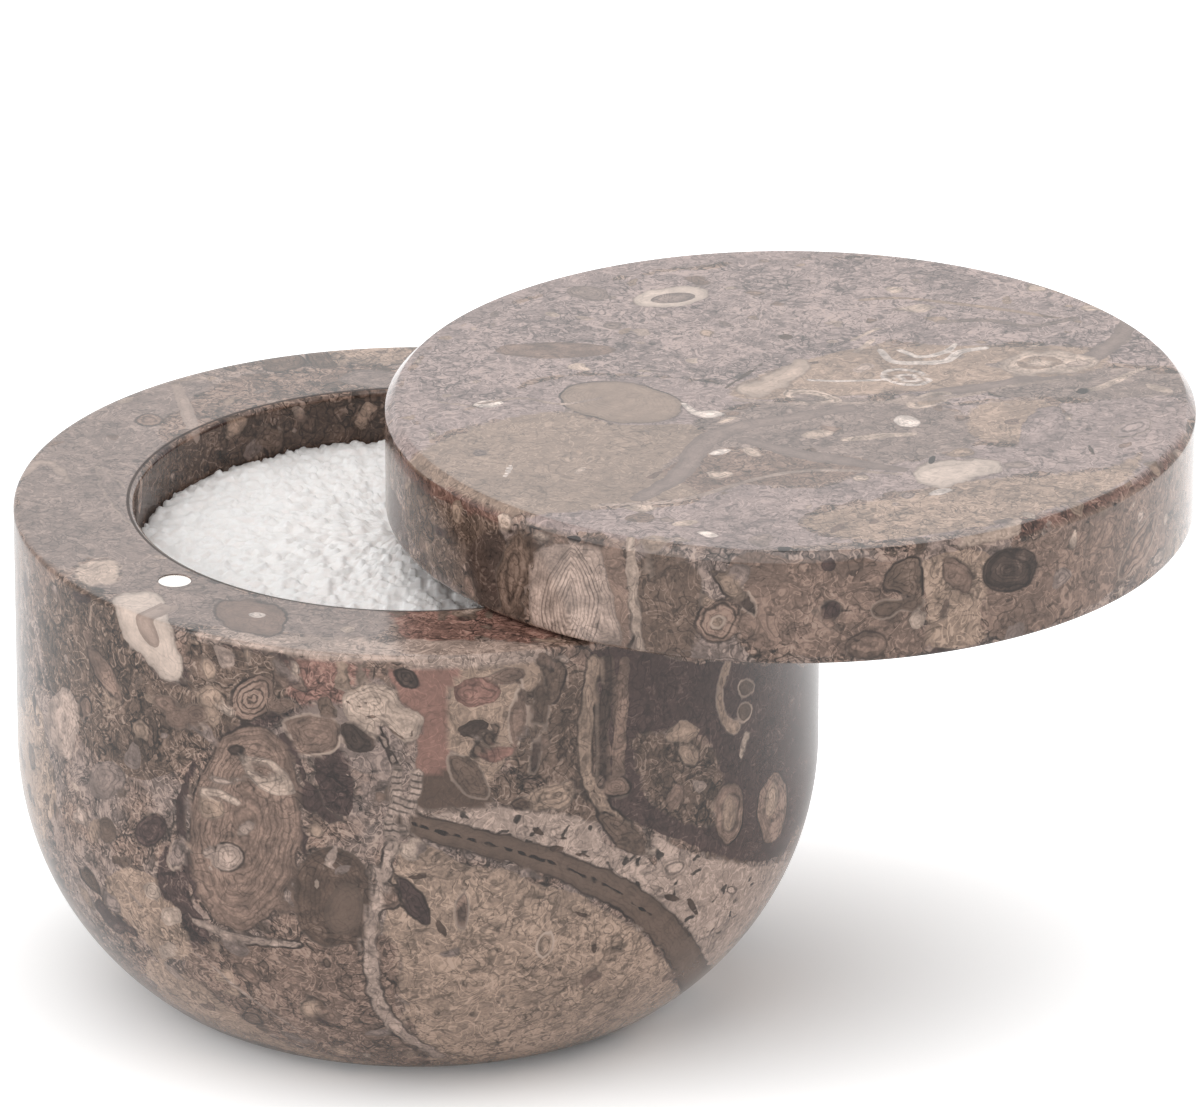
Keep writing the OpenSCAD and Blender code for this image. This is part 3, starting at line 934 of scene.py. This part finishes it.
LID_DETAILS = {
    "ring of cream core": oval((673, 298), (23, 5), 5, LILAC),
    "cream loop": strand(
        [(880, 350), (892, 361), (915, 363), (945, 361), (960, 352), (985, 348)],
        (7, 11, 9), BONE),
    "cream inner loop": strand([(900, 350), (920, 357), (945, 352), (955, 344)], (6, 8, 6), BONE),
    "ringed shell": oval((906, 377), (26, 8.5), -6, BONE),
    "ringed shell gap": oval((906, 377), (20, 6), -6, BEIGE),
    "ringed shell heart": oval((908, 378), (13, 4), -6, BONE),
    "ringed shell core": oval((909, 378), (7, 2), -6, TAUPE),
    "shell tail": strand([(808, 380), (840, 381), (880, 380)], 5, BONE),
    "shell fan": oval((930, 400), (24, 7), 12, CREAM, rings=2, band=0.5),
    "shell fan gap": oval((932, 400), (16, 4), 12, BEIGE),
    "left shell fan": oval((812, 397), (30, 7), -8, CREAM, rings=3, band=0.5),
    "left shell gap": oval((806, 398), (14, 3.5), -8, LILAC),
    "nest hollow": area(
        [(1018, 361), (1038, 356), (1058, 359), (1062, 364), (1040, 369), (1022, 368)], BEIGE),
    "nest loop": oval((1040, 363), (11, 3), 0, CREAM),
    "nest right hollow": oval((1078, 364), (12, 3.5), 5, PALE),
    "upper squiggle": strand([(855, 352), (865, 346), (872, 340)], 6, CREAM),
    "upper second squiggle": strand([(852, 340), (872, 331), (880, 328)], 5, CREAM),
    "flake by the olive": leaf((690, 409), (12, 3), -35, BONE),
    "second flake by the olive": leaf((710, 414), (15, 4), 0, BONE),
    "third flake by the olive": leaf((727, 420), (10, 2.5), 15, CREAM),
    "dark seam": strand([(726, 388), (744, 376), (762, 364)], 4, UMBER),
    "middle seam": strand(
        [(735, 400), (800, 404), (880, 402), (960, 396), (1010, 386), (1060, 380)],
        (5, 8, 6), PALE),
    "right seam": strand([(1080, 392), (1105, 386), (1125, 376), (1145, 368)], (6, 12, 5), CREAM),
    "left seam": strand([(440, 402), (470, 405), (520, 398), (560, 404), (600, 398)], 5, PALE),
    "front seam": strand(
        [(600, 505), (680, 500), (760, 478), (820, 470), (900, 474)], (8, 6), PALE),
    "upper seam": strand(
        [(860, 300), (900, 298), (960, 304), (1020, 312), (1080, 322)], (6, 8, 6), BEIGE),
    "back seam": strand([(940, 322), (985, 320), (1030, 326), (1075, 318)], 9, LILAC),
    "cream bar": strand([(845, 440), (880, 436), (915, 434)], (9, 14, 7), CREAM),
    "second cream bar": leaf((818, 434), (18, 4), 4, CREAM),
    "front white": leaf((720, 452), (12, 3), 10, BONE),
    "front flake": leaf((752, 452), (11, 4), -20, CREAM),
    "low white": leaf((940, 492), (14, 3), 12, BONE),
    "low flake": leaf((686, 523), (15, 3), 6, CREAM),
    "low second flake": leaf((708, 534), (11, 3), -12, BONE),
    "left flake": leaf((508, 471), (8, 3), 60, BONE),
    "dark back tick": leaf((786, 337), (8, 3), 0, UMBER),
    "dark low tick": leaf((1091, 450), (7, 2.5), -60, UMBER),
    "dark tick": leaf((932, 460), (5, 3), 60, INK),
    "dark right tick": leaf((1083, 391), (7, 3), 10, INK),
    "agate chevrons": leaf((569, 610), (68, 31), 87, PALE, rings=8, band=0.4),
    "eye core": oval((718, 622), (8, 6), 30, BEIGE, LIGHT_LINE),
}

bowl_stone = Stone(bowl, bowl_section, (0, 0), MOUTH_R)
lid_stone = Stone(lid, lid_section, (LID_X, LID_Y), 0)

# How many fossils are scattered on the bowl, by their kind, and the lid's share of them
PATCHES = 60
SHELLS = 1000
BIG_SHELLS = 90
SPECKS = 240
LATE_SHELLS = 320
LID_SHARE = 0.6

# Half sizes of each kind, in millimetres
PATCH_HALVES = (8, 20)
SHELL_HALVES = (0.7, 2.4)
BIG_SHELL_HALVES = (2.4, 5)
SPECK_HALVES = (0.4, 1.1)
LATE_SHELL_HALVES = (0.5, 2.0)

PATCH_TONES = (LILAC, TAUPE, BROWN, BEIGE, PURPLE)
SHELL_TONES = (PALE, BEIGE, BEIGE, TAUPE, TAUPE, TAUPE, BROWN, BROWN, UMBER, LILAC, PURPLE)
SPECK_TONES = (CREAM, PALE, UMBER, INK)
LATE_SHELL_TONES = (PALE, CREAM, LILAC, TAUPE, BEIGE)

SEED = 11
rng = np.random.default_rng(SEED)
for stone, share in ((bowl_stone, 1.0), (lid_stone, LID_SHARE)):
    stone.scatter(rng, "ground", round(PATCHES * share), PATCH_HALVES, PATCH_TONES, rings=1.2)
    stone.scatter(rng, "fossils", round(SHELLS * share), SHELL_HALVES, SHELL_TONES, band=0.4,
                  lines=(DARK_LINE, FAINT_LINE, FAINT_LINE, NO_LINE))
    stone.scatter(rng, "fossils", round(BIG_SHELLS * share), BIG_SHELL_HALVES, SHELL_TONES,
                  rings=4, band=0.4, lines=(DARK_LINE, DARK_LINE, FAINT_LINE))
    stone.scatter(rng, "details", round(SPECKS * share), SPECK_HALVES, SPECK_TONES,
                  lines=(NO_LINE,))

# Painted shade: the hollow's wall is laid over with dark umber, for the shade inside it
bowl_stone.paint_hollow_shade(UMBER)
for stone, ground, fossils, details in ((bowl_stone, BOWL_GROUND, BOWL_FOSSILS, BOWL_DETAILS),
                                        (lid_stone, LID_GROUND, LID_FOSSILS, LID_DETAILS)):
    stone.place("ground", ground)
    stone.scatter(rng, "fossils", LATE_SHELLS, LATE_SHELL_HALVES, LATE_SHELL_TONES, band=0.3,
                  lines=(FAINT_LINE, NO_LINE))
    stone.place("fossils", fossils)
    stone.place("details", details)
    stone.keep()


# Materials
def add_node(tree, kind, inputs=(), **settings):
    """Adds a shader node with its settings, and its inputs by name or in order.

    An input is a value, a socket, or another node, which stands for its first output."""
    node = tree.nodes.new("ShaderNode" + kind)
    for name, setting in settings.items():
        setattr(node, name, setting)
    in_use = [socket for socket in node.inputs if socket.enabled]
    pairs = inputs.items() if isinstance(inputs, dict) else enumerate(inputs)
    for name, given in pairs:
        socket = node.inputs[name] if isinstance(name, str) else in_use[name]
        if isinstance(given, bpy.types.Node):
            given = next(output for output in given.outputs if output.enabled)
        if isinstance(given, bpy.types.NodeSocket):
            tree.links.new(given, socket)
        else:
            socket.default_value = given
    return node


def new_material(name):
    """An empty material, what adds nodes to it, and the Object coordinates in it."""
    material = bpy.data.materials.new(name)
    material.use_nodes = True
    material.node_tree.nodes.clear()
    add = partial(add_node, material.node_tree)
    return material, add, add("TexCoord").outputs["Object"]


def per_mm(size):
    """Scale of a pattern on Object coordinates, which are in metres, from its size."""
    return 1 / (size * MM)


# Sizes of the patterns in the limestone, in millimetres
STIR_SIZE, STIR_REACH = 2.6, 3.6
CLOUD_SIZE = 7.0
MOTTLE_SIZE = 1.8
GRIT_SIZE = 0.35
CHIP_SIZE = 1.4
CRUMB_SIZE = 0.8
FLECK_SIZE = 1.9
DARK_CURL_SIZE = 3.2
WIDE_CURL_SIZE = 6.0
LIGHT_CURL_SIZE = 3.8

# Turns in radians and stretches of the two lots of chips, and the same for the dark flecks
CHIP_LIES = (((0.6, 0.3, 0.9), (1, 1, 0.4)), ((-0.5, 1.0, -0.4), (0.4, 1, 1)))
FLECK_LIES = (((0.2, 0.4, 0.5), (1, 0.3, 1)), ((1.2, -0.5, 0.3), (1, 0.3, 1)))

# The dark line painted round the mouth, in millimetres: its radius and half its width, and how
# far from the rim's height it starts to fade and is gone
EDGE_LINE_R = MOUTH_R + MOUTH_EDGE_R
EDGE_LINE_REACH = 0.2
EDGE_LINE_FULL, EDGE_LINE_GONE = 0.3, 0.39


def fossil_limestone():
    """Fossil limestone, turned and polished: shells and mud in browns and greys under a
    smooth gloss, which lets the sky whiten it where it is seen at a slant."""
    material, add, where = new_material("fossil_limestone_polished")

    def lumps(size, detail, distortion=0.0):
        """Soft lumps of a size in millimetres."""
        return add("TexNoise", {"Vector": where, "Scale": per_mm(size), "Detail": detail,
                                "Distortion": distortion})

    def curls(size, count, share, distortion):
        """Curly lines, where lumps of a size pass evenly spaced heights."""
        height = add("Math", [lumps(size, 1.5, distortion), count], operation="MULTIPLY")
        height = add("Math", [height, 1.0], operation="PINGPONG")
        return add("MapRange", [height, 1 - share, 1 - 0.4 * share])

    # The mud was stirred before it set, so every pattern wanders by about a millimetre
    stir = lumps(STIR_SIZE, 2.5)
    drift = add("VectorMath", [stir.outputs["Color"], (0.5,) * 3], operation="SUBTRACT")
    stirred = add("VectorMath", [drift, (STIR_REACH * MM,) * 3, where], operation="MULTIPLY_ADD")
    cloud = lumps(CLOUD_SIZE, 3.0)
    clouds = add("SeparateColor", [cloud.outputs["Color"]]).outputs
    broad = add("Math", [cloud, 2.4, -1.2], operation="MULTIPLY_ADD")
    grit = add("Math", [lumps(GRIT_SIZE, 2.0), 2.0, -1.0], operation="MULTIPLY_ADD")
    mottle = add("Math", [lumps(MOTTLE_SIZE, 3.0), 3.4, -1.7], operation="MULTIPLY_ADD")

    # Chips of shell lie two ways, each lot stretched along its own slant
    lots = []
    for turn, stretch in CHIP_LIES:
        lie = add("Mapping", {"Vector": stirred, "Rotation": turn, "Scale": stretch})
        cells = {"Vector": lie, "Scale": per_mm(CHIP_SIZE)}
        chip = add("TexVoronoi", cells).outputs
        own = add("SeparateColor", [chip["Color"]]).outputs
        # Some chips show their growth as light lines round a middle
        growth = add("Math", [chip["Distance"], 5.0], operation="MULTIPLY")
        growth = add("Math", [growth, 1.0], operation="PINGPONG")
        growth = add("MapRange", [growth, 0.5, 0.9, -0.4, 0.9])
        grown = add("MapRange", [own["Green"], 0.5, 0.6])
        grown = add("Math", [growth, grown], operation="MULTIPLY")
        shade = add("Math", [own["Red"], 0.9, -0.45], operation="MULTIPLY_ADD")
        shade = add("Math", [grown, shade], operation="ADD")
        seam = add("TexVoronoi", cells, feature="DISTANCE_TO_EDGE")
        seam = add("MapRange", [seam, 0.03, 0.14, 1.0, 0.0])
        depth = add("MapRange", [own["Blue"], 0.2, 0.9, -1.5, 0.2])
        lots.append(add("Math", [seam, depth, shade], operation="MULTIPLY_ADD"))
    chips = add("Mix", [add("MapRange", [clouds["Blue"], 0.47, 0.53]), *lots])
    crumb = add("TexVoronoi", {"Vector": stirred, "Scale": per_mm(CRUMB_SIZE)})
    crumb = add("SeparateColor", [crumb.outputs["Color"]])
    crumbs = add("Math", [crumb, 0.8, -0.4], operation="MULTIPLY_ADD")
    # Chips lie thick in one place, and fine crumbs in the next
    shade = add("Mix", [add("MapRange", [clouds["Green"], 0.42, 0.56]), crumbs, chips])
    # Shells seen edge on are curly lines, which run dark in mud and light among chips
    dark_mud = add("MapRange", [clouds["Red"], 0.42, 0.54])
    dark_curls = curls(DARK_CURL_SIZE, 11.0, 0.3, 1.0)
    dark_curls = add("Math", [dark_curls, dark_mud], operation="MULTIPLY")
    wide_mud = add("MapRange", [clouds["Blue"], 0.4, 0.5])
    wide_curls = curls(WIDE_CURL_SIZE, 15.0, 0.14, 1.8)
    wide_curls = add("Math", [wide_curls, wide_mud], operation="MULTIPLY")
    among_chips = add("MapRange", [clouds["Green"], 0.56, 0.46])
    light_curls = curls(LIGHT_CURL_SIZE, 13.0, 0.22, 1.4)
    light_curls = add("Math", [light_curls, among_chips], operation="MULTIPLY")
    shade = add("Math", [dark_curls, -1.2, shade], operation="MULTIPLY_ADD")
    shade = add("Math", [wide_curls, -1.1, shade], operation="MULTIPLY_ADD")
    shade = add("Math", [light_curls, 1.3, shade], operation="MULTIPLY_ADD")
    specks = add("Math", [mottle, 0.7, grit], operation="MULTIPLY_ADD")
    shade = add("Math", [shade, specks], operation="ADD")

    # Short dark flecks in the paler mud
    fleck = 0.0
    for turn, stretch in FLECK_LIES:
        lie = add("Mapping", {"Vector": stirred, "Rotation": turn, "Scale": stretch})
        seed = add("TexVoronoi", {"Vector": lie, "Scale": per_mm(FLECK_SIZE)}).outputs
        dot = add("MapRange", [seed["Distance"], 0.24, 0.16])
        chosen = add("MapRange", [add("SeparateColor", [seed["Color"]]), 0.45, 0.5])
        dot = add("Math", [dot, chosen], operation="MULTIPLY")
        fleck = add("Math", [dot, fleck], operation="MAXIMUM")

    wobble = add("Math", [stir, 1.4, -0.7], operation="MULTIPLY_ADD")
    sway = add("Math", [wobble, broad], operation="ADD")
    uneven = add("Math", [stir, 1.5], operation="MULTIPLY")
    uneven = add("Math", [cloud, 2.5, uneven], operation="MULTIPLY_ADD")
    fading = add("MapRange", [clouds["Green"], 0.35, 0.6, 1.0, 0.35])

    def shaded(tone, shade):
        """A tone made darker by its shade below naught, and taken to cream above it."""
        power = add("Math", [shade, 0.4], operation="MINIMUM")
        power = add("Math", [2.6, power], operation="POWER")
        body = add("VectorMath", [tone, power], operation="SCALE")
        paleness = add("MapRange", [shade, 0.3, 2.2, 0.0, 0.85])
        return add("Mix", [paleness, body, linear(CREAM)], data_type="RGBA")

    def inlaid(under, bed, drift, texture):
        """The colour of the stone with one bed of fossils drawn over the colour under it."""
        parts = add("Attribute", attribute_name=bed + "_shape").outputs["Vector"]
        parts = add("SeparateXYZ", [parts]).outputs
        tone = add("Attribute", attribute_name=bed + "_tone").outputs
        gap = add("Math", [parts["X"], drift], operation="ADD")
        if bed == "ground":
            shade = add("Math", [texture, broad], operation="ADD")
            shade = add("Math", [shade, parts["Y"]], operation="MULTIPLY")
            flecks = add("Math", [fleck, parts["Z"]], operation="MULTIPLY")
            shade = add("Math", [flecks, -2.0, shade], operation="MULTIPLY_ADD")
        else:
            # Growth lines by the fossil's own rings, fainter ones along its outline, and an
            # outer layer that is darker than the middle
            rings = add("Math", [parts["Y"], uneven], operation="ADD")
            rings = add("Math", [rings, 0.5], operation="PINGPONG")
            rings = add("MapRange", [rings, 0.03, 0.24, -1.2, 0.35])
            band = add("Math", [parts["Z"], 0.0], operation="MAXIMUM")
            shade = add("Math", [rings, band], operation="MULTIPLY")
            layers = add("Math", [gap, 1.7, uneven], operation="MULTIPLY_ADD")
            layers = add("Math", [layers, 0.5], operation="PINGPONG")
            layers = add("MapRange", [layers, 0.04, 0.2, -0.5, 0.1])
            layers = add("Math", [layers, fading], operation="MULTIPLY")
            layers = add("Math", [layers, texture], operation="ADD")
            calm = add("Math", [parts["Z"], 0.0], operation="MINIMUM")
            calm = add("Math", [calm, 1.0], operation="ADD")
            shade = add("Math", [layers, calm, shade], operation="MULTIPLY_ADD")
            outer = add("MapRange", [gap, -1.0, -0.1, 0.0, -0.3])
            shade = add("Math", [shade, outer], operation="ADD")
        within = add("MapRange", [gap, 0.05, -0.05])
        laid = add("Mix", [within, under, shaded(tone["Color"], shade)], data_type="RGBA")
        # Outline, dark or light by the fossil's own choice, which fades in and out
        strength = add("Math", [tone["Alpha"], 2.0, -1.0], operation="MULTIPLY_ADD")
        strength = add("Math", [strength], operation="ABSOLUTE")
        line = add("Math", [gap], operation="ABSOLUTE")
        line = add("MapRange", [line, 0.08, 0.24, 1.0, 0.0])
        strength = add("Math", [strength, line], operation="MULTIPLY")
        strength = add("Math", [strength, fading], operation="MULTIPLY")
        ink = add("Mix", [tone["Alpha"], linear(INK), linear(CREAM)], data_type="RGBA")
        return add("Mix", [strength, laid, ink], data_type="RGBA")

    # Mud between the named patches drifts from lilac grey to brown
    mud = add("MapRange", [cloud, 0.4, 0.6])
    mud = add("Mix", [mud, linear(LILAC), linear(TAUPE)], data_type="RGBA")
    mottle = add("Math", [mottle, broad], operation="ADD")
    quiet = add("Math", [grit, 0.5], operation="MULTIPLY")
    quiet = add("Math", [mottle, 0.6, quiet], operation="MULTIPLY_ADD")
    quiet = add("Math", [dark_curls, -0.5, quiet], operation="MULTIPLY_ADD")
    colour = inlaid(shaded(mud, shade), "ground", sway, shade)
    colour = inlaid(colour, "fossils", wobble, quiet)
    wobble = add("Math", [wobble, 0.4], operation="MULTIPLY")
    colour = inlaid(colour, "details", wobble, quiet)
    # A thin dark line is painted round the edge of the mouth, where the stone is also made rougher
    across = add("VectorMath", [where, (1, 1, 0)], operation="MULTIPLY")
    across = add("VectorMath", [across], operation="LENGTH")
    off = add("Math", [across, EDGE_LINE_R * MM], operation="SUBTRACT")
    off = add("Math", [off], operation="ABSOLUTE")
    off = add("MapRange", [off, 1.2 * EDGE_LINE_REACH * MM, 0.8 * EDGE_LINE_REACH * MM])
    height = add("SeparateXYZ", [where]).outputs["Z"]
    height = add("Math", [height, RIM_Z * MM], operation="SUBTRACT")
    height = add("Math", [height], operation="ABSOLUTE")
    height = add("MapRange", [height, EDGE_LINE_GONE * MM, EDGE_LINE_FULL * MM])
    edge = add("Math", [off, height], operation="MULTIPLY")
    dark = add("Math", [edge, 0.85], operation="MULTIPLY")
    colour = add("Mix", [dark, colour, linear(INK)], data_type="RGBA")
    polish = add("MapRange", [grit, -0.5, 0.5, 0.1, 0.2])
    roughness = add("Math", [edge, 0.4, polish], operation="MULTIPLY_ADD")
    shader = add("BsdfPrincipled", {"Base Color": colour, "Roughness": roughness, "IOR": 1.5})
    add("OutputMaterial", [shader])
    return material


limestone = fossil_limestone()
for piece in (bowl, lid):
    piece.data.materials.clear()
    piece.data.materials.append(limestone)

# Salt in the bowl: a heap that follows the hollow, with crystals on top, in millimetres
SALT_DROP = 6.7
SALT_HEAP = 2.2
SALT_GAP = 0.3
SALT_STEPS = 560
SALT_GRAIN = 0.42
SALT_WALL_SPACING = 2.5

# Size across and height of the heap's broad lumps, its clumps and its crystals
LUMP_SIZE, LUMP_H = 5.0, 0.3
CLUMP_SIZE, CLUMP_H = 1.8, 0.25
CRYSTAL_SIZE, CRYSTAL_H = 0.8, 0.35

# Size of a crystal's own tone, and how far light spreads in the heap
CRYSTAL_TONE_SIZE = 0.7
SALT_GLOW_REACH = 2.0


def salt_top(r):
    """Height of the heap at a distance from its middle, before its lumps."""
    return RIM_Z - SALT_DROP + SALT_HEAP * (1 - (r / MOUTH_R) ** 2)


def salt_lump(x, y):
    """Height of the lumps and crystals at a place on the heap."""
    lump = LUMP_H * noise.noise(Vector((x, y, 0)) / LUMP_SIZE)
    clump = CLUMP_H * noise.noise(Vector((x, y, 7)) / CLUMP_SIZE)
    return lump + clump + CRYSTAL_H * noise.cell(Vector((x, y, 3)) / CRYSTAL_SIZE)


def salt_heap():
    """The heap of salt, a hair inside the hollow, which rides on the bowl."""
    edge_r = MOUTH_R - SALT_GAP
    wall = arc(MOUTH_R - HOLLOW_R, floor_z + HOLLOW_R, HOLLOW_R - SALT_GAP, -90, 0,
               SALT_WALL_SPACING)
    rings = math.ceil(edge_r / SALT_GRAIN)
    top = [(edge_r * (1 - i / rings), salt_top(edge_r * (1 - i / rings)))
           for i in range(rings + 1)]
    outline = [(0, floor_z + SALT_GAP)] + wall + top
    heap = turned("salt", outline, (0, 0), SALT_STEPS)
    for vert in heap.data.vertices:
        x, y, z = vert.co / MM
        if z > salt_top(math.hypot(x, y)) - SLACK:
            vert.co.z += salt_lump(x, y) * MM
    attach(heap, "bowl")
    return heap


def sea_salt():
    """Coarse white salt: small clear crystals, which pass light on to each other until the
    heap looks soft and white."""
    material, add, where = new_material("salt_coarse_crystals")
    crystal = add("TexVoronoi", {"Vector": where, "Scale": per_mm(CRYSTAL_TONE_SIZE)})
    tone = add("SeparateColor", [crystal.outputs["Color"]])
    colour = add("Mix", [tone, linear("#f6efec"), linear("#fcf7f5")], data_type="RGBA")
    shader = add("BsdfPrincipled", {
        "Base Color": colour, "IOR": 1.54, "Roughness": 0.5, "Subsurface Weight": 0.8,
        "Subsurface Radius": (1, 1, 1), "Subsurface Scale": SALT_GLOW_REACH * MM})
    add("OutputMaterial", [shader])
    return material


salt = salt_heap()
salt.data.materials.append(sea_salt())

# Sizes of the fine marks on the small pieces, in millimetres
HAZE_SIZE = 0.6
GRINDING_SPACING = 0.15
GRINDING_REACH = 25.0
TOOL_MARK_SIZE = 0.4


def dress(node, material):
    """Gives a solid of the model its finish."""
    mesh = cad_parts[node].data
    mesh.materials.clear()
    mesh.materials.append(material)


def nickel_plate():
    """Nickel plate on a disc magnet: a bright, slightly warm mirror with fine haze."""
    material, add, where = new_material("nickel_plated")
    haze = add("TexNoise", {"Vector": where, "Scale": per_mm(HAZE_SIZE), "Detail": 3.0})
    roughness = add("MapRange", [haze, 0.0, 1.0, 0.18, 0.32])
    shader = add("BsdfPrincipled", {"Metallic": 1.0, "Base Color": linear("#ece7e2"),
                                    "Roughness": roughness})
    add("OutputMaterial", [shader])
    return material


def ground_steel():
    """Stainless dowel, ground to size: grey metal with fine lines round it."""
    material, add, where = new_material("stainless_ground")
    stretch = (per_mm(GRINDING_REACH), per_mm(GRINDING_REACH), per_mm(GRINDING_SPACING))
    lines = add("Mapping", {"Vector": where, "Scale": stretch})
    lines = add("TexNoise", {"Vector": lines, "Scale": 1.0, "Detail": 2.0})
    roughness = add("MapRange", [lines, 0.0, 1.0, 0.22, 0.42])
    shader = add("BsdfPrincipled", {"Metallic": 1.0, "Base Color": linear("#c9c8c6"),
                                    "Roughness": roughness})
    add("OutputMaterial", [shader])
    return material


def turned_nylon():
    """Natural nylon, turned: milky off-white with a soft sheen and faint tool marks."""
    material, add, where = new_material("nylon_natural_turned")
    marks = add("TexNoise", {"Vector": where, "Scale": per_mm(TOOL_MARK_SIZE), "Detail": 2.0})
    colour = add("Mix", [marks, linear("#dcd8cc"), linear("#e8e5dc")], data_type="RGBA")
    shader = add("BsdfPrincipled", {"Base Color": colour, "IOR": 1.53, "Roughness": 0.45})
    add("OutputMaterial", [shader])
    return material


nickel = nickel_plate()
dress("bowl_magnet", nickel)
dress("lid_magnet", nickel)
dress("pivot_pin", ground_steel())
dress("pivot_bush", turned_nylon())

# Floor, backdrop and lights
# The floor is whiter where it is seen than where it lights the piece, and glows like a lit
# sweep: little in an oval round the bowl, where its shadow lies, and more further out
FLOOR_HALF = 4
FLOOR_SEEN = (0.9, 0.9, 0.9, 1)
# In the polish it is darker, but less so far off to the right and the back, which pales the
# right ends of the stone
MIRRORED_NEAR, MIRRORED_FAR = 0.3, 0.8
MIRRORED_START, MIRRORED_END = 160 * MM, 260 * MM
GLOW_NEAR, GLOW_FAR = 0.0, 0.9
GLOW_START, GLOW_END = 19 * MM, 76 * MM
GLOW_MIDDLE = (9 * MM, -6 * MM, 0)
GLOW_SQUEEZE = (0.625, 1, 1)


def white_floor():
    """Matt white paper, which glows outside the bowl's shadow and so is as white as the sky."""
    material, add, where = new_material("floor_white")
    path = add("LightPath").outputs
    side = add("VectorMath", [where, (1, 1, 0)], operation="DOT_PRODUCT")
    mirrored = add("MapRange", [side, MIRRORED_START, MIRRORED_END, MIRRORED_NEAR, MIRRORED_FAR])
    seen = add("Math", [path["Is Glossy Ray"], mirrored], operation="MULTIPLY")
    seen = add("Math", [path["Is Camera Ray"], seen], operation="MAXIMUM")
    paint = add("Mix", [seen, linear("#e8e8e8"), FLOOR_SEEN], data_type="RGBA")
    paint = add("BsdfDiffuse", [paint])
    away = add("VectorMath", [where, GLOW_MIDDLE], operation="SUBTRACT")
    away = add("VectorMath", [away, GLOW_SQUEEZE], operation="MULTIPLY")
    away = add("VectorMath", [away], operation="LENGTH")
    glow = add("MapRange", [away, GLOW_START, GLOW_END, GLOW_NEAR, GLOW_FAR])
    glow = add("Math", [glow, seen], operation="MULTIPLY")
    glow = add("Emission", {"Strength": glow})
    add("OutputMaterial", [add("AddShader", [paint, glow])])
    return material


floor_mesh = bpy.data.meshes.new("floor")
bm = bmesh.new()
bmesh.ops.create_grid(bm, x_segments=1, y_segments=1, size=FLOOR_HALF)
bm.to_mesh(floor_mesh)
bm.free()
floor = bpy.data.objects.new("floor", floor_mesh)
bpy.context.scene.collection.objects.link(floor)
floor.data.materials.append(white_floor())

# The sky is white where it is seen or mirrored, and softer as a light
SKY_LIGHT = 0.5
world = bpy.data.worlds.new("world")
bpy.context.scene.world = world
world.use_nodes = True
world.node_tree.nodes.clear()
add = partial(add_node, world.node_tree)
path = add("LightPath").outputs
shown = add("Math", [path["Is Camera Ray"], path["Is Glossy Ray"]], operation="MAXIMUM")
shown = add("Math", [shown, path["Is Transmission Ray"]], operation="MAXIMUM")
strength = add("MapRange", [shown, 0.0, 1.0, SKY_LIGHT, 1.0])
add("OutputWorld", [add("Background", [(1, 1, 1, 1), strength])])

# What the lamps are turned to: the middle of the bowl, in metres
LAMP_AIM = (0, 0, 0.04)


def softbox(name, at, width, height, radiance):
    """A soft lamp at a place in metres, turned to the bowl and left out of the picture."""
    light = bpy.data.lights.new(name, "AREA")
    light.shape = "RECTANGLE"
    light.size, light.size_y = width, height
    light.energy = radiance * math.pi * width * height
    lamp = bpy.data.objects.new(name, light)
    bpy.context.scene.collection.objects.link(lamp)
    lamp.location = at
    lamp.rotation_mode = "QUATERNION"
    lamp.rotation_quaternion = (Vector(at) - Vector(LAMP_AIM)).to_track_quat("Z", "Y")
    lamp.visible_camera = False
    return lamp


# The low lamps aren't mirrored, because from across the lid they would wash it out
softbox("key", (-0.6, -0.45, 1.5), 1.8, 1.8, 1.4)
softbox("left", (-2.0, 0.1, 0.6), 1.4, 1.2, 2.6).visible_glossy = False
softbox("right", (1.5, 0.75, 0.5), 1.4, 1.2, 3.8).visible_glossy = False
softbox("front", (0.3, -2.2, 0.5), 2.4, 0.9, 1.3).visible_glossy = False
softbox("back", (0.1, 1.8, 0.9), 3.2, 1.4, 0.4).visible_diffuse = False

bpy.context.scene.view_settings.view_transform = "Standard"
